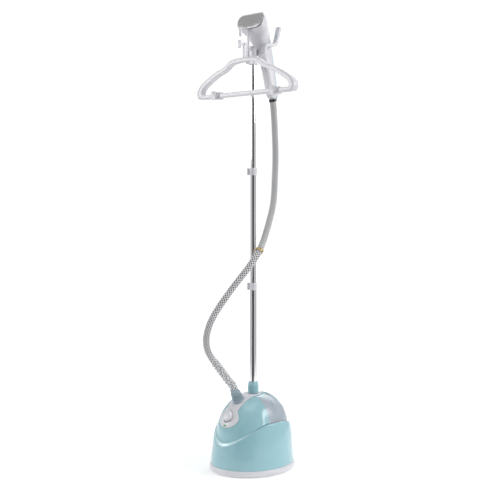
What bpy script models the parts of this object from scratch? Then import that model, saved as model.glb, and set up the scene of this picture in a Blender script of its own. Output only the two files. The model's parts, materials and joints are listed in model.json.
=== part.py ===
"""Garment steamer: floor base with a lift-off water tank, a telescopic mast, a hanger, a hand steam head
on a fork, and the steam hose between base and head.  Metres, +Z up.  The front of the machine faces -Y.
The origin is on the floor under the middle of the base; the mast stands a few millimetres behind it.
"""

import math

import bmesh
import bpy
import numpy as np
from mathutils import Matrix, Vector

GAP = 0.0003  # clearance between pieces that touch
WALL = 0.0025  # moulded wall

# Base: every level of the shell is an ellipse, stated by a nominal radius
BASE_X = 0.930  # half width over nominal radius
BASE_Y = 1.054  # half depth over nominal radius
FLOOR_Z = 0.0035  # underside of the base plate, on its feet
SHELL_Z = 0.0225  # where the lower shell starts
WAVE_FRONT = 0.092  # top edge of the lower shell at the front
WAVE_CREST = 0.168  # and at the sides
WAVE_BACK = 0.138  # and at the back
LIP_RISE = 0.013  # sloped light band over the lower shell, at the front
LIP_INSET = 0.008
LIP_END = math.radians(62)  # where the band has run out
DECK_Z = 0.1200  # inner deck under the tank
TANK_Z = 0.1265  # tank floor
DOME_TOP = 0.2500
BACKWARDS = 0.006  # how far the upper levels stand behind the foot
COLUMNS, ROWS = 40, 6  # faces around and up each shell
DOME = [  # nominal radius and height of the dome, from the foot to the mast
    (0.1400, 0.0225), (0.1385, 0.0450), (0.1358, 0.0750), (0.1338, 0.1000), (0.1310, 0.1200),
    (0.1270, 0.1400), (0.1212, 0.1580), (0.1138, 0.1750), (0.1052, 0.1920), (0.0960, 0.2060),
    (0.0860, 0.2180), (0.0730, 0.2300), (0.0590, 0.2400), (0.0430, 0.2470), (0.0300, 0.2495),
    (0.0150, DOME_TOP),
]

# Tank, seen from above: behind a straight front edge, around the foot of the mast
TANK_FRONT_Y = -0.013
TANK_MAST_R = 0.042
LID_FRONT, LID_BACK, LID_HALF = 0.056, 0.106, 0.024

# Mast
MAST_Y = 0.004
LOWER_R, MIDDLE_R, UPPER_R = 0.0108, 0.0095, 0.0082
TUBE_WALL = 0.0009
LOWER_SPAN = (0.160, 0.610)
MIDDLE_SPAN = (0.530, 0.994)
UPPER_SPAN = (0.915, 1.356)
CLAMP_Z = (0.614, 0.998)
CLAMP_HALF = 0.012
CLAMP_R = 0.0125
LEVER_PIN = (-0.0165, -0.0080)

# Knob, nut and hose outlet, in the plane x = 0, measured from the mast's axis
KNOB_AT = (0.0, -0.1075, 0.1900)
KNOB_UP = math.radians(20)  # how far the knob faces up
NUT_AT = (0.0, -0.0670, 0.2400)
NUT_LEAN = math.radians(27.5)
NUT_LENGTH = 0.0310
HOSE_R = 0.0112
HOSE_START = 0.0170  # along the nut's axis
SPLIT_Z = 0.735  # the brass band, where the two lengths of hose meet

# Hanger, in a plane parallel to XZ in front of the mast
HANGER_Y = -0.036
HANGER_DEPTH = 0.021
BAR_Z = 1.2540
BAR_HALF = 0.0070
CLIP_X = (-0.138, 0.150)

HOOK_STEM_Y = -0.0215  # garment hook, between the mast and the hanger's post

# Steam head and its handle
HANDLE_LEAN = math.radians(11.3)
HANDLE_END = (0.0, 0.0875, 1.2420)
COVER_DEPTH, COVER_TOP = 0.0110, 1.4780  # coloured back of the handle
PLATE_LEAN = math.radians(15)
PLATE_AT = (0.0, -0.0110, 1.4905)

HEAD_SECTIONS = [  # height, front y, back y, half width at the front, half width at the back
    (1.2450, 0.0700, 0.1030, 0.0125, 0.0125), (1.2520, 0.0665, 0.1045, 0.0155, 0.0155),
    (1.2800, 0.0600, 0.1015, 0.0172, 0.0165), (1.3300, 0.0475, 0.0935, 0.0178, 0.0168),
    (1.3800, 0.0300, 0.0835, 0.0185, 0.0165), (1.4100, 0.0140, 0.0790, 0.0240, 0.0165),
    (1.4300, 0.0010, 0.0750, 0.0330, 0.0165), (1.4480, -0.0060, 0.0715, 0.0480, 0.0165),
    (1.4580, -0.0150, 0.0695, 0.0580, 0.0220), (1.4650, -0.0340, 0.0680, 0.0660, 0.0280),
    (1.4900, -0.0360, 0.0620, 0.0670, 0.0340),
    (1.5060, -0.0300, 0.0560, 0.0650, 0.0340), (1.5160, -0.0180, 0.0450, 0.0560, 0.0300),
]

HOSE_ROUTE = [  # from the handle down to the nut, measured from the mast's axis
    (0.000, 0.0758, 1.3010), (0.000, 0.0875, 1.2420), (0.000, 0.0940, 1.1930), (0.000, 0.0985, 1.1300),
    (0.000, 0.1015, 1.0500), (0.000, 0.0985, 0.9750), (0.004, 0.0880, 0.8920), (0.014, 0.0560, 0.8210),
    (0.026, 0.0240, 0.7710), (0.035, -0.0080, 0.7310), (0.036, -0.0360, 0.7010), (0.034, -0.0620, 0.6730),
    (0.024, -0.1040, 0.6260), (0.012, -0.1390, 0.5800), (0.004, -0.1700, 0.5380), (0.001, -0.1920, 0.5000),
    (0.000, -0.2040, 0.4600), (0.000, -0.1990, 0.4220), (0.000, -0.1780, 0.3880), (0.000, -0.1430, 0.3470),
    (0.000, -0.1100, 0.3070), (0.000, -0.0880, 0.2700),
]

PARTS = None
CUTTERS = None


# ---------------------------------------------------------------- scene and materials

def new_collection(name):
    made = bpy.data.collections.new(name)
    bpy.context.scene.collection.children.link(made)
    return made


def finish(name, color, roughness, metallic=0.0, transmission=0.0):
    made = bpy.data.materials.new(name)
    made.use_nodes = True
    shader = made.node_tree.nodes["Principled BSDF"]
    shader.inputs["Base Color"].default_value = (*color, 1.0)
    shader.inputs["Roughness"].default_value = roughness
    shader.inputs["Metallic"].default_value = metallic
    shader.inputs["Transmission Weight"].default_value = transmission
    made.diffuse_color = (*color, 1.0)
    return made


def add(name, data, material, parent=None, cutter=False):
    made = bpy.data.objects.new(name, data)
    (CUTTERS if cutter else PARTS).objects.link(made)
    made.parent = parent
    if cutter:
        made.hide_render = True
        made.display_type = "WIRE"
    else:
        made.data.materials.append(material)
    return made


def place(made, location=(0, 0, 0), rotation=(0, 0, 0)):
    made.location = location
    made.rotation_euler = rotation
    return made


# ---------------------------------------------------------------- shapes

def turned(name, profile, material, closed=False, steps=32, parent=None, cutter=False):
    """Turns (radius, height) points about Z.  They run down the outer side, then back up a bore if closed."""
    mesh = bpy.data.meshes.new(name)
    edges = [(i, i + 1) for i in range(len(profile) - 1)]
    if closed:
        edges.append((len(profile) - 1, 0))
    mesh.from_pydata([(r, 0.0, z) for r, z in profile], edges, [])
    made = add(name, mesh, material, parent, cutter)
    screw = made.modifiers.new("turn", "SCREW")
    screw.steps = steps
    screw.render_steps = steps
    screw.use_merge_vertices = True
    screw.merge_threshold = 0.00001
    screw.use_smooth_shade = True
    return made


def ring(name, outer, inner, low, high, material, **options):
    profile = [(outer, high), (outer, low), (inner, low), (inner, high)]
    return turned(name, profile, material, closed=True, **options)


def disc(name, radius, low, high, material, **options):
    return turned(name, [(0, high), (radius, high), (radius, low), (0, low)], material, **options)


def block(name, size, material, bevel=0.0, parent=None, cutter=False):
    mesh = bpy.data.meshes.new(name)
    cube = bmesh.new()
    bmesh.ops.create_cube(cube, size=1.0, matrix=Matrix.Diagonal((*size, 1.0)))
    cube.to_mesh(mesh)
    cube.free()
    made = add(name, mesh, material, parent, cutter)
    if bevel:
        soften(made, bevel)
    return made


def soften(made, width, segments=2):
    bevel = made.modifiers.new("edges", "BEVEL")
    bevel.width = width
    bevel.segments = segments
    bevel.limit_method = "ANGLE"
    bevel.angle_limit = math.radians(40)


def smooth_line(points, spans, closed=False):
    """Catmull-Rom curve through the points, with some steps to each span."""
    given = [Vector(p) for p in points]
    count = len(given)
    if closed:
        def at(i):
            return given[i % count]
    else:
        ends = [2 * given[0] - given[1], *given, 2 * given[-1] - given[-2]]

        def at(i):
            return ends[i + 1]
    line = []
    for i in range(count if closed else count - 1):
        a, b, c, d = at(i - 1), at(i), at(i + 1), at(i + 2)
        for k in range(spans):
            t = k / spans
            line.append(0.5 * (2 * b + (c - a) * t + (2 * a - 5 * b + 4 * c - d) * t * t
                               + (3 * b - a - 3 * c + d) * t ** 3))
    if not closed:
        line.append(given[-1])
    return line


def even_line(line, step):
    """The same line with its points a constant length apart."""
    flat = np.array([tuple(p) for p in line])
    along = np.concatenate(([0.0], np.cumsum(np.linalg.norm(np.diff(flat, axis=0), axis=1))))
    marks = np.linspace(0.0, along[-1], max(2, round(along[-1] / step) + 1))
    return [Vector([float(np.interp(m, along, flat[:, k])) for k in range(flat.shape[1])]) for m in marks]


def tube(name, points, radius, material, resolution=2, parent=None, cutter=False):
    curve = bpy.data.curves.new(name, "CURVE")
    curve.dimensions = "3D"
    curve.bevel_depth = radius
    curve.bevel_resolution = resolution
    curve.use_fill_caps = True
    spline = curve.splines.new("POLY")
    spline.points.add(len(points) - 1)
    for point, where in zip(spline.points, points):
        point.co = (*where, 1.0)
    return add(name, curve, material, parent, cutter)


def plate(name, outlines, half_thickness, material, bevel=0.0, parent=None, cutter=False):
    """A flat outline, with any holes as further outlines, in the local XY plane."""
    curve = bpy.data.curves.new(name, "CURVE")
    curve.dimensions = "2D"
    curve.fill_mode = "BOTH"
    curve.extrude = half_thickness - bevel
    curve.bevel_depth = bevel
    curve.bevel_resolution = 0 if bevel < 0.0015 else 1
    curve.offset = -bevel
    for outline in outlines:
        spline = curve.splines.new("POLY")
        spline.points.add(len(outline) - 1)
        for point, where in zip(spline.points, outline):
            point.co = (where[0], where[1], 0.0, 1.0)
        spline.use_cyclic_u = True
    return add(name, curve, material, parent, cutter)


def strap(path, thickness, round_ends=3):
    """The outline of a strip of even thickness along a flat path, with round ends."""
    line = [Vector(p) for p in path]
    half = thickness / 2
    left, right = [], []
    for i, here in enumerate(line):
        along = (line[min(i + 1, len(line) - 1)] - line[max(i - 1, 0)]).normalized()
        side = Vector((-along.y, along.x)) * half
        left.append(here + side)
        right.append(here - side)

    def cap(center, start):
        arm = start - center
        turn = [Matrix.Rotation(-math.pi * k / (round_ends + 1), 2) for k in range(1, round_ends + 1)]
        return [center + t @ arm for t in turn]

    return left + cap(line[-1], left[-1]) + right[::-1] + cap(line[0], right[0])


def arc(center, radius, start, end, count):
    angles = [math.radians(start + (end - start) * k / (count - 1)) for k in range(count)]
    return [(center[0] + radius * math.cos(a), center[1] + radius * math.sin(a)) for a in angles]


def as_mesh(curve_object):
    """The curve object as a mesh object whose caps are welded, so that it can be cut."""
    bpy.context.view_layer.update()
    seen = curve_object.evaluated_get(bpy.context.evaluated_depsgraph_get())
    mesh = bpy.data.meshes.new_from_object(seen)
    welded = bmesh.new()
    welded.from_mesh(mesh)
    bmesh.ops.remove_doubles(welded, verts=welded.verts, dist=0.00001)
    bmesh.ops.recalc_face_normals(welded, faces=welded.faces)
    welded.to_mesh(mesh)
    welded.free()
    name, parent, where = curve_object.name, curve_object.parent, curve_object.matrix_world.copy()
    is_cutter = CUTTERS in curve_object.users_collection
    bpy.data.objects.remove(curve_object, do_unlink=True)
    material = mesh.materials[0] if mesh.materials else None
    mesh.materials.clear()
    made = add(name, mesh, material, parent, is_cutter)
    made.matrix_world = where
    return made


def boolean(made, other, operation="DIFFERENCE"):
    change = made.modifiers.new(operation.lower(), "BOOLEAN")
    change.operation = operation
    change.object = other
    change.solver = "EXACT"
    return made


def surface(name, columns, rows, where, thickness, material, cutter=False):
    """A grid placed by where(u, v), u across and v up, thickened inwards; it closes if its sides meet."""
    grid = bmesh.new()
    bmesh.ops.create_grid(grid, x_segments=columns, y_segments=rows, size=0.5)
    for vertex in grid.verts:
        vertex.co = where(vertex.co.x + 0.5, vertex.co.y + 0.5)
    bmesh.ops.remove_doubles(grid, verts=grid.verts, dist=0.00001)
    mesh = bpy.data.meshes.new(name)
    grid.to_mesh(mesh)
    grid.free()
    made = add(name, mesh, material, None, cutter)
    shell = made.modifiers.new("wall", "SOLIDIFY")
    shell.thickness = thickness
    shell.offset = -1.0
    shell.use_even_offset = True
    return made


def loft(name, rings, material, parent=None, cutter=False):
    """Closed rings of equal count, bottom to top, joined into one solid."""
    body = bmesh.new()
    rows = [[body.verts.new(p) for p in points] for points in rings]
    count = len(rows[0])
    for low, high in zip(rows, rows[1:]):
        for i in range(count):
            j = (i + 1) % count
            body.faces.new((low[i], low[j], high[j], high[i]))
    body.faces.new(rows[0][::-1])
    body.faces.new(rows[-1])
    bmesh.ops.recalc_face_normals(body, faces=body.faces)
    mesh = bpy.data.meshes.new(name)
    body.to_mesh(mesh)
    body.free()
    return add(name, mesh, material, parent, cutter)


# ---------------------------------------------------------------- the form of the base

def ease(t):
    t = min(1.0, max(0.0, t))
    return t * t * (3 - 2 * t)


def wave(angle):
    """Height of the lower shell's top edge; the angle is from the front, towards either side."""
    turn = abs(math.degrees(angle))
    rise = (WAVE_CREST - WAVE_FRONT) * ease(turn / 78)
    fall = (WAVE_CREST - WAVE_BACK) * ease((turn - 95) / 85)
    return WAVE_FRONT + rise - fall


def lip(angle):
    """1 where the light band is full, at the front, down to 0 where it has run out."""
    return 1.0 - ease(abs(angle) / LIP_END)


def rear(angle):
    """0 around the front, 1 around the tank."""
    return ease((abs(math.degrees(angle)) - 66) / 14)


def inset(angle):
    """How far the upper shell and tank stand in from the lower shell's edge."""
    return 0.0012 + (LIP_INSET - 0.0012) * lip(angle) + 0.0056 * rear(angle)


PROFILE = [tuple(p) for p in smooth_line(DOME, 6)]
PROFILE_R = np.array([p[0] for p in PROFILE])
PROFILE_Z = np.array([p[1] for p in PROFILE])


def shell_radius(height):
    return float(np.interp(height, PROFILE_Z, PROFILE_R))


def upper_edge(angle):
    return wave(angle) + LIP_RISE * lip(angle) + 0.0012


def on_ellipse(angle, radius, height):
    back = BACKWARDS * ease((height - 0.05) / 0.13)
    return Vector((BASE_X * radius * math.sin(angle), back - BASE_Y * radius * math.cos(angle), height))


def dome_point(angle, share, proud=0.0, top_radius=0.0150):
    """A point of the upper dome: share 0 on its lower edge, 1 at the mast."""
    low = upper_edge(angle)
    first = float(np.interp(low, PROFILE_Z, np.arange(len(PROFILE_Z))))
    last = float(np.interp(-top_radius, -PROFILE_R, np.arange(len(PROFILE_R))))
    at = first + (last - first) * share
    steps = np.arange(len(PROFILE_R))
    radius = float(np.interp(at, steps, PROFILE_R))
    height = float(np.interp(at, steps, PROFILE_Z))
    radius -= inset(angle) * (1.0 - ease((height - low) / 0.055))
    ahead = min(at + 1, len(PROFILE_R) - 1)
    slope = Vector((
        float(np.interp(ahead, steps, PROFILE_Z)) - float(np.interp(ahead - 2, steps, PROFILE_Z)),
        float(np.interp(ahead - 2, steps, PROFILE_R)) - float(np.interp(ahead, steps, PROFILE_R)),
    )).normalized()
    return on_ellipse(angle, radius + proud * slope.x, height + proud * slope.y)


def around(u):
    return math.pi * (2 * u - 1)


# ---------------------------------------------------------------- base

def make_base(look):
    plate_profile = [
        (0.0, FLOOR_Z + 0.004), (0.1355, FLOOR_Z + 0.004), (0.1355, 0.0222), (0.1412, 0.0214),
        (0.1440, 0.0160), (0.1446, 0.0095), (0.1425, 0.0050), (0.1370, FLOOR_Z), (0.0, FLOOR_Z),
    ]
    made = turned("base_plate", plate_profile, look["white"], steps=32)
    made.scale = (BASE_X, BASE_Y, 1.0)
    for side, x in (("left", -0.074), ("right", 0.074)):
        for end, y in (("front", -0.088), ("rear", 0.088)):
            foot = disc(f"foot_{end}_{side}", 0.0110, 0.0, FLOOR_Z - GAP, look["rubber"], steps=20)
            place(foot, (x, y, 0.0))

    def lower(u, v):
        angle = around(u)
        edge = wave(angle)
        roll = 0.0018 + 0.0042 * rear(angle)
        if v <= 0.75:
            height = SHELL_Z + (edge - roll - SHELL_Z) * v / 0.75
            return on_ellipse(angle, shell_radius(height), height)
        turn = math.pi / 2 * (v - 0.75) / 0.25
        radius = shell_radius(edge - roll) - roll * (1 - math.cos(turn))
        return on_ellipse(angle, radius, edge - roll * (1 - math.sin(turn)))

    shell = surface("lower_shell", COLUMNS, ROWS, lower, WALL, look["aqua"])
    hole = disc("gland_hole", 0.0093, -0.02, 0.02, None, steps=20, cutter=True)
    place(hole, (0.0, 0.1430, 0.0500), (math.pi / 2, 0, 0))
    boolean(shell, hole)
    gland_profile = [
        (0.0120, 0.0085), (0.0120, 0.0052), (0.0090, 0.0052), (0.0090, -0.0060), (0.0045, -0.0060),
        (0.0045, 0.0085),
    ]
    gland = turned("cord_gland", gland_profile, look["grey"], closed=True, steps=20)
    place(gland, (0.0, 0.1430, 0.0500), (-math.pi / 2, 0, 0))

    def band(u, v):
        angle = math.radians(45) * (2 * u - 1)
        start = shell_radius(wave(angle)) - 0.0008
        end = shell_radius(upper_edge(angle)) - inset(angle) + 0.0021
        low = wave(angle) + 0.0009 + 0.0012 * lip(angle)
        height = low + v * (upper_edge(angle) - 0.0009 - low)
        return on_ellipse(angle, start + v * (min(end, start) - start), height)

    surface("accent_band", COLUMNS // 4, 2, band, 0.0016, look["pale"])


def keyhole():
    half = [
        (0.0410, 0.0480), (0.0430, 0.0590), (0.0385, 0.0700), (0.0300, 0.0800), (0.0275, 0.0900),
        (0.0278, 0.1050), (0.0285, 0.1250), (0.0300, 0.1550), (0.0310, 0.1750), (0.0240, 0.1920), (0.0, 0.1990),
    ]
    foot = [(0.0, 0.0210), (0.0190, 0.0260), (0.0330, 0.0360)]
    right = foot + half
    left = [(-x, y) for x, y in right[1:-1]][::-1]
    return right + left


def holes_in_dome(mast):
    """Cutters for the mast, the hose nut, the knob's bezel and the indicator."""
    mast_hole = disc("mast_hole", 0.0172, 0.10, 0.30, None, steps=32, parent=mast, cutter=True)
    nut_hole = disc("nut_hole", 0.0202, -0.020, 0.030, None, steps=32, parent=mast, cutter=True)
    place(nut_hole, NUT_AT, (NUT_LEAN, 0, 0))
    knob_hole = disc("knob_hole", 0.0233, -0.020, 0.020, None, steps=32, parent=mast, cutter=True)
    place(knob_hole, KNOB_AT, (math.pi / 2 - KNOB_UP, 0, 0))
    return [mast_hole, nut_hole, knob_hole]


def tank_zone(name, margin, top=0.30, bottom=0.06):
    """Everything behind the tank's front edge and outside the foot of the mast, less a margin."""
    zone = block(name, (0.4, 0.3, top - bottom), None, cutter=True)
    place(zone, (0.0, TANK_FRONT_Y + margin + 0.15, (top + bottom) / 2))
    core = disc(name + "_core", TANK_MAST_R + margin, bottom - 0.01, top + 0.01, None, steps=40, cutter=True)
    place(core, (0.0, MAST_Y, 0.0))
    return boolean(zone, core)


def make_dome(look, mast):
    upper = surface("upper_shell", COLUMNS, ROWS, lambda u, v: dome_point(around(u), v), WALL, look["aqua"])
    boolean(upper, tank_zone("tank_bay", 0.0))
    panel = surface("control_panel", COLUMNS, ROWS, lambda u, v: dome_point(around(u), v, 0.0021), 0.0014,
                    look["white"])
    key = plate("keyhole", [keyhole()], 0.05, None, cutter=True)
    place(key, (0.0, -0.1344, 0.1344), (math.radians(45), 0, 0))
    key = as_mesh(key)
    boolean(panel, key, "INTERSECT")
    for hole in holes_in_dome(mast):
        boolean(upper, hole)
        boolean(panel, hole)
    lens_hole = block("lens_hole", (0.0112, 0.0062, 0.030), None, cutter=True, parent=mast)
    place(lens_hole, (0.0, -0.1255, 0.1600), (math.radians(62), 0, 0))
    boolean(panel, lens_hole)
    boolean(upper, lens_hole)
    lens = block("indicator_lens", (0.0100, 0.0050, 0.0070), look["green"], 0.0008, parent=mast)
    place(lens, (0.0, -0.1255, 0.1600), (math.radians(62), 0, 0))
    bezel_profile = [
        (0.0228, 0.0024), (0.0228, -0.0080), (0.0045, -0.0080), (0.0045, -0.0030), (0.0200, -0.0030),
        (0.0205, 0.0024),
    ]
    bezel = turned("knob_bezel", bezel_profile, look["grey"], closed=True, parent=mast)
    place(bezel, KNOB_AT, (math.pi / 2 - KNOB_UP, 0, 0))


def make_knob(look, mast):
    tilt = (math.pi / 2 - KNOB_UP, 0, 0)
    knob_profile = [
        (0.0, 0.0140), (0.0150, 0.0140), (0.0150, 0.0132), (0.0171, 0.0132), (0.0171, 0.0125),
        (0.0182, 0.0110), (0.0196, -0.0020), (0.0035, -0.0020), (0.0035, -0.0175), (0.0, -0.0175),
    ]
    knob = turned("steam_knob", knob_profile, look["white"], steps=28, parent=mast)
    place(knob, KNOB_AT, tilt)
    trim = ring("knob_ring", 0.0168, 0.0153, 0.0135, 0.0143, look["aqua"], steps=28, parent=mast)
    place(trim, KNOB_AT, tilt)
    switch = block("steam_switch", (0.030, 0.026, 0.014), look["black"], 0.001, parent=mast)
    back = Vector((0.0, math.cos(KNOB_UP), -math.sin(KNOB_UP))) * 0.0255
    place(switch, Vector(KNOB_AT) + back, tilt)


# ---------------------------------------------------------------- tank

def tank_form(name, shrink, floor, look=None):
    """The dome behind the front edge, with upright sides below the lower shell's rim, to a flat floor."""
    levels = []
    for row in range(ROWS + 1):
        levels.append([dome_point(around(i / COLUMNS), row / ROWS, -GAP - shrink) for i in range(COLUMNS)])
    foot = [Vector((p.x, p.y, floor)) for p in levels[0]]
    return loft(name, [foot, *levels], look, cutter=look is None)


def make_tank(look):
    tank = tank_form("water_tank", 0.0, TANK_Z, look["tank"])
    boolean(tank, tank_zone("tank_limit", 0.0005, bottom=0.05), "INTERSECT")
    cavity = tank_form("tank_cavity", 0.0022, TANK_Z + 0.0022)
    boolean(cavity, tank_zone("cavity_limit", 0.0027, bottom=0.05), "INTERSECT")
    boolean(tank, cavity)
    for name, y, low, high in (("filler_hole", 0.0800, 0.19, 0.24), ("outlet_hole", 0.0750, 0.11, 0.14)):
        hole = disc(name, 0.0130, low, high, None, steps=24, cutter=True)
        place(hole, (0.0, y, 0.0))
        boolean(tank, hole)
    outlet = disc("tank_valve", 0.0126, TANK_Z - 0.0012, TANK_Z + 0.0065, look["white"], steps=24)
    place(outlet, (0.0, 0.0750, 0.0))

    lid = surface("tank_lid", COLUMNS, ROWS, lambda u, v: dome_point(around(u), v, 0.0028), 0.0020,
                  look["pale"])
    lid_zone = block("lid_zone", (2 * LID_HALF, LID_BACK - LID_FRONT, 0.2), None, cutter=True)
    place(lid_zone, (0.0, (LID_FRONT + LID_BACK) / 2, 0.2))
    boolean(lid, lid_zone, "INTERSECT")

    deck = turned("inner_deck", [(0, DECK_Z + WALL), (0.1110, DECK_Z + WALL), (0.1110, DECK_Z), (0, DECK_Z)],
                  look["white"], steps=36)
    deck.scale = (BASE_X, BASE_Y, 1.0)
    seat_hole = disc("seat_hole", 0.0123, 0.10, 0.14, None, steps=24, cutter=True)
    place(seat_hole, (0.0, 0.0750, 0.0))
    steam_hole = disc("steam_hole", 0.0085, 0.10, 0.14, None, steps=16, cutter=True)
    place(steam_hole, (0.0, -0.0400, 0.0))
    boolean(deck, seat_hole)
    boolean(deck, steam_hole)
    seat = ring("valve_seat", 0.0120, 0.0065, DECK_Z - 0.012, TANK_Z - 0.0015, look["rubber"], steps=24)
    place(seat, (0.0, 0.0750, 0.0))


# ---------------------------------------------------------------- inside the base

def make_boiler(look):
    low = FLOOR_Z + 0.004 + GAP
    boiler_profile = [
        (0.0, 0.0280), (0.0465, 0.0280), (0.0465, 0.0850), (0.0500, 0.0850), (0.0500, low), (0.0470, low),
        (0.0470, 0.0250), (0.0, 0.0250),
    ]
    boiler = turned("boiler_body", boiler_profile, look["aluminium"], steps=24)
    place(boiler, (0.0, -0.0300, 0.0))
    cover_profile = [
        (0.0070, 0.0980), (0.0070, 0.0890), (0.0520, 0.0890), (0.0520, 0.0853), (0.0035, 0.0853),
        (0.0035, 0.0980),
    ]
    cover = turned("boiler_cover", cover_profile, look["aluminium"], closed=True, steps=24)
    place(cover, (0.0, -0.0300, 0.0))
    bpy.ops.mesh.primitive_torus_add(
        location=(0.0, -0.0300, 0.0170), major_radius=0.0360, minor_radius=0.0045,
        major_segments=24, minor_segments=6,
    )
    heater = bpy.context.object
    heater.name = "heating_element"
    heater.data.materials.append(look["steel"])
    for owner in heater.users_collection:
        owner.objects.unlink(heater)
    PARTS.objects.link(heater)
    guard = disc("thermostat", 0.0085, 0.0893, 0.0975, look["black"], steps=20)
    place(guard, (0.0270, -0.0300, 0.0))


def make_pipes(look):
    foot = Vector((0.0, -0.0300, 0.0992))
    axis = Vector((0.0, -math.sin(NUT_LEAN), math.cos(NUT_LEAN)))
    end = Vector(NUT_AT) + Vector((0, MAST_Y, 0)) - 0.0153 * axis
    route = [foot, foot + Vector((0, -0.0005, 0.006)), (0.0, -0.0400, 0.1200), (0.0, -0.0470, 0.1500),
             end - 0.012 * axis, end]
    tube("steam_pipe", even_line(smooth_line(route, 6), 0.010), 0.0040, look["rubber"])
    route = [(0.0, 0.0750, 0.1077), (0.0, 0.0750, 0.0960), (0.0, 0.0680, 0.0740), (0.0, 0.0500, 0.0620),
             (0.0, 0.0206, 0.0600)]
    tube("water_pipe", even_line(smooth_line(route, 6), 0.008), 0.0040, look["rubber"])


def make_nut(look, mast):
    tilt = (NUT_LEAN, 0, 0)
    socket_profile = [
        (0.0100, HOSE_START - GAP), (0.0100, -0.0080), (0.0170, -0.0080), (0.0170, -0.0120),
        (0.0100, -0.0120), (0.0100, -0.0150), (0.0050, -0.0150), (0.0050, HOSE_START - GAP),
    ]
    socket = turned("hose_socket", socket_profile, look["white"], closed=True, steps=24, parent=mast)
    place(socket, NUT_AT, tilt)
    nut_profile = [
        (0.0156, NUT_LENGTH), (0.0163, NUT_LENGTH - 0.0012), (0.0195, 0.0010), (0.0195, -0.0060),
        (0.0118, -0.0060), (0.0118, NUT_LENGTH),
    ]
    nut = turned("hose_nut", nut_profile, look["slate"], closed=True, steps=28, parent=mast)
    place(nut, NUT_AT, tilt)
    sleeve = ring("hose_ferrule", 0.0132, 0.0117, NUT_LENGTH + GAP, NUT_LENGTH + 0.0130, look["slate"],
                  steps=24, parent=mast)
    place(sleeve, NUT_AT, tilt)


# ---------------------------------------------------------------- mast

def make_tubes(look, mast):
    for name, radius, (low, high) in (
        ("lower_tube", LOWER_R, LOWER_SPAN), ("middle_tube", MIDDLE_R, MIDDLE_SPAN),
        ("upper_tube", UPPER_R, UPPER_SPAN),
    ):
        ring(name, radius, radius - TUBE_WALL, low, high, look["chrome"], steps=24, parent=mast)
    socket_profile = [
        (0.0, LOWER_SPAN[0] - GAP), (LOWER_R + GAP, LOWER_SPAN[0] - GAP), (LOWER_R + GAP, DOME_TOP + 0.0030),
        (0.0165, DOME_TOP + 0.0030), (0.0165, DECK_Z + WALL + GAP), (0.0, DECK_Z + WALL + GAP),
    ]
    turned("mast_socket", socket_profile, look["white"], steps=24, parent=mast)
    collar_profile = [
        (0.0145, 0.2915), (0.0155, 0.2903), (0.0162, 0.2850), (0.0180, 0.2815), (0.0184, 0.2560),
        (0.0184, 0.2535), (LOWER_R + GAP, 0.2535), (LOWER_R + GAP, 0.2915),
    ]
    turned("mast_collar", collar_profile, look["aqua"], closed=True, steps=24, parent=mast)


def clamp(look, mast, number, height, below, above):
    """A collar on the end of a wider tube that grips the narrower one, with a cam lever on its pin."""
    step = LOWER_SPAN[1] - CLAMP_Z[0] if number == 1 else MIDDLE_SPAN[1] - CLAMP_Z[1]
    profile = [
        (0.0118, CLAMP_HALF), (CLAMP_R, CLAMP_HALF - 0.0006), (CLAMP_R, -CLAMP_HALF),
        (below + GAP, -CLAMP_HALF), (below + GAP, step + GAP), (above + GAP, step + GAP),
        (above + GAP, CLAMP_HALF),
    ]
    body = turned(f"clamp_{number}_collar", profile, look["white"], closed=True, steps=16, parent=mast)
    place(body, (0, 0, height))
    outward = Vector((*LEVER_PIN, 0.0))
    ears = []
    for side, middle in (("top", 0.0102), ("bottom", -0.0102)):
        along = outward.normalized()
        path = [along.xy * 0.0155, outward.xy]
        ear = plate(f"clamp_{number}_{side}_ear", [strap([tuple(p) for p in path], 0.0076, 2)], 0.0015, None,
                    parent=mast, cutter=True)
        ear = as_mesh(place(ear, (0, 0, height + middle)))
        ears.append(ear)
    bore = disc(f"clamp_{number}_pin_bore", 0.0018, -0.02, 0.02, None, steps=12, parent=mast, cutter=True)
    place(bore, (*LEVER_PIN, height))
    for ear in ears:
        boolean(body, ear, "UNION")
    boolean(body, bore)
    pin = disc(f"clamp_{number}_pin", 0.0015, -CLAMP_HALF, CLAMP_HALF, look["steel"], steps=12, parent=mast)
    place(pin, (*LEVER_PIN, height))
    eye = (0.0, 0.0)
    path = [eye, (-0.0030, 0.0060), (-0.0042, 0.0120), (-0.0030, 0.0180), (-0.0005, 0.0215)]
    outline = strap([tuple(p) for p in smooth_line(path, 2)], 0.0075)
    lever = plate(f"clamp_{number}_lever", [outline], 0.0083, look["white"], 0.0010, parent=mast)
    lever = as_mesh(place(lever, (*LEVER_PIN, height)))
    boolean(lever, bore)


def make_head_mount(look, mast):
    """The socket on top of the mast, with the fork that carries the hand piece and the front rest."""
    core_profile = [
        (0.0, 1.4020), (0.0115, 1.4020), (0.0125, 1.4005), (0.0125, 1.3700), (0.0142, 1.3680),
        (0.0142, 1.3500), (UPPER_R + GAP, 1.3500), (UPPER_R + GAP, UPPER_SPAN[1] + GAP),
        (0.0, UPPER_SPAN[1] + GAP),
    ]
    core = turned("mast_head", core_profile, look["white"], steps=24, parent=mast)
    boss = block("hanger_boss", (0.0200, 0.0150, 0.0150), None, parent=mast, cutter=True)
    place(boss, (0.0, HANGER_Y + HANGER_DEPTH / 2 + GAP + 0.0075, 1.3585))
    lug = block("hook_lug", (0.0160, 0.0150, 0.0200), None, parent=mast, cutter=True)
    place(lug, (0.0, HANGER_Y + HANGER_DEPTH / 2 + GAP + 0.0075, 1.3840))
    boolean(core, boss, "UNION")
    boolean(core, lug, "UNION")


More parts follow.
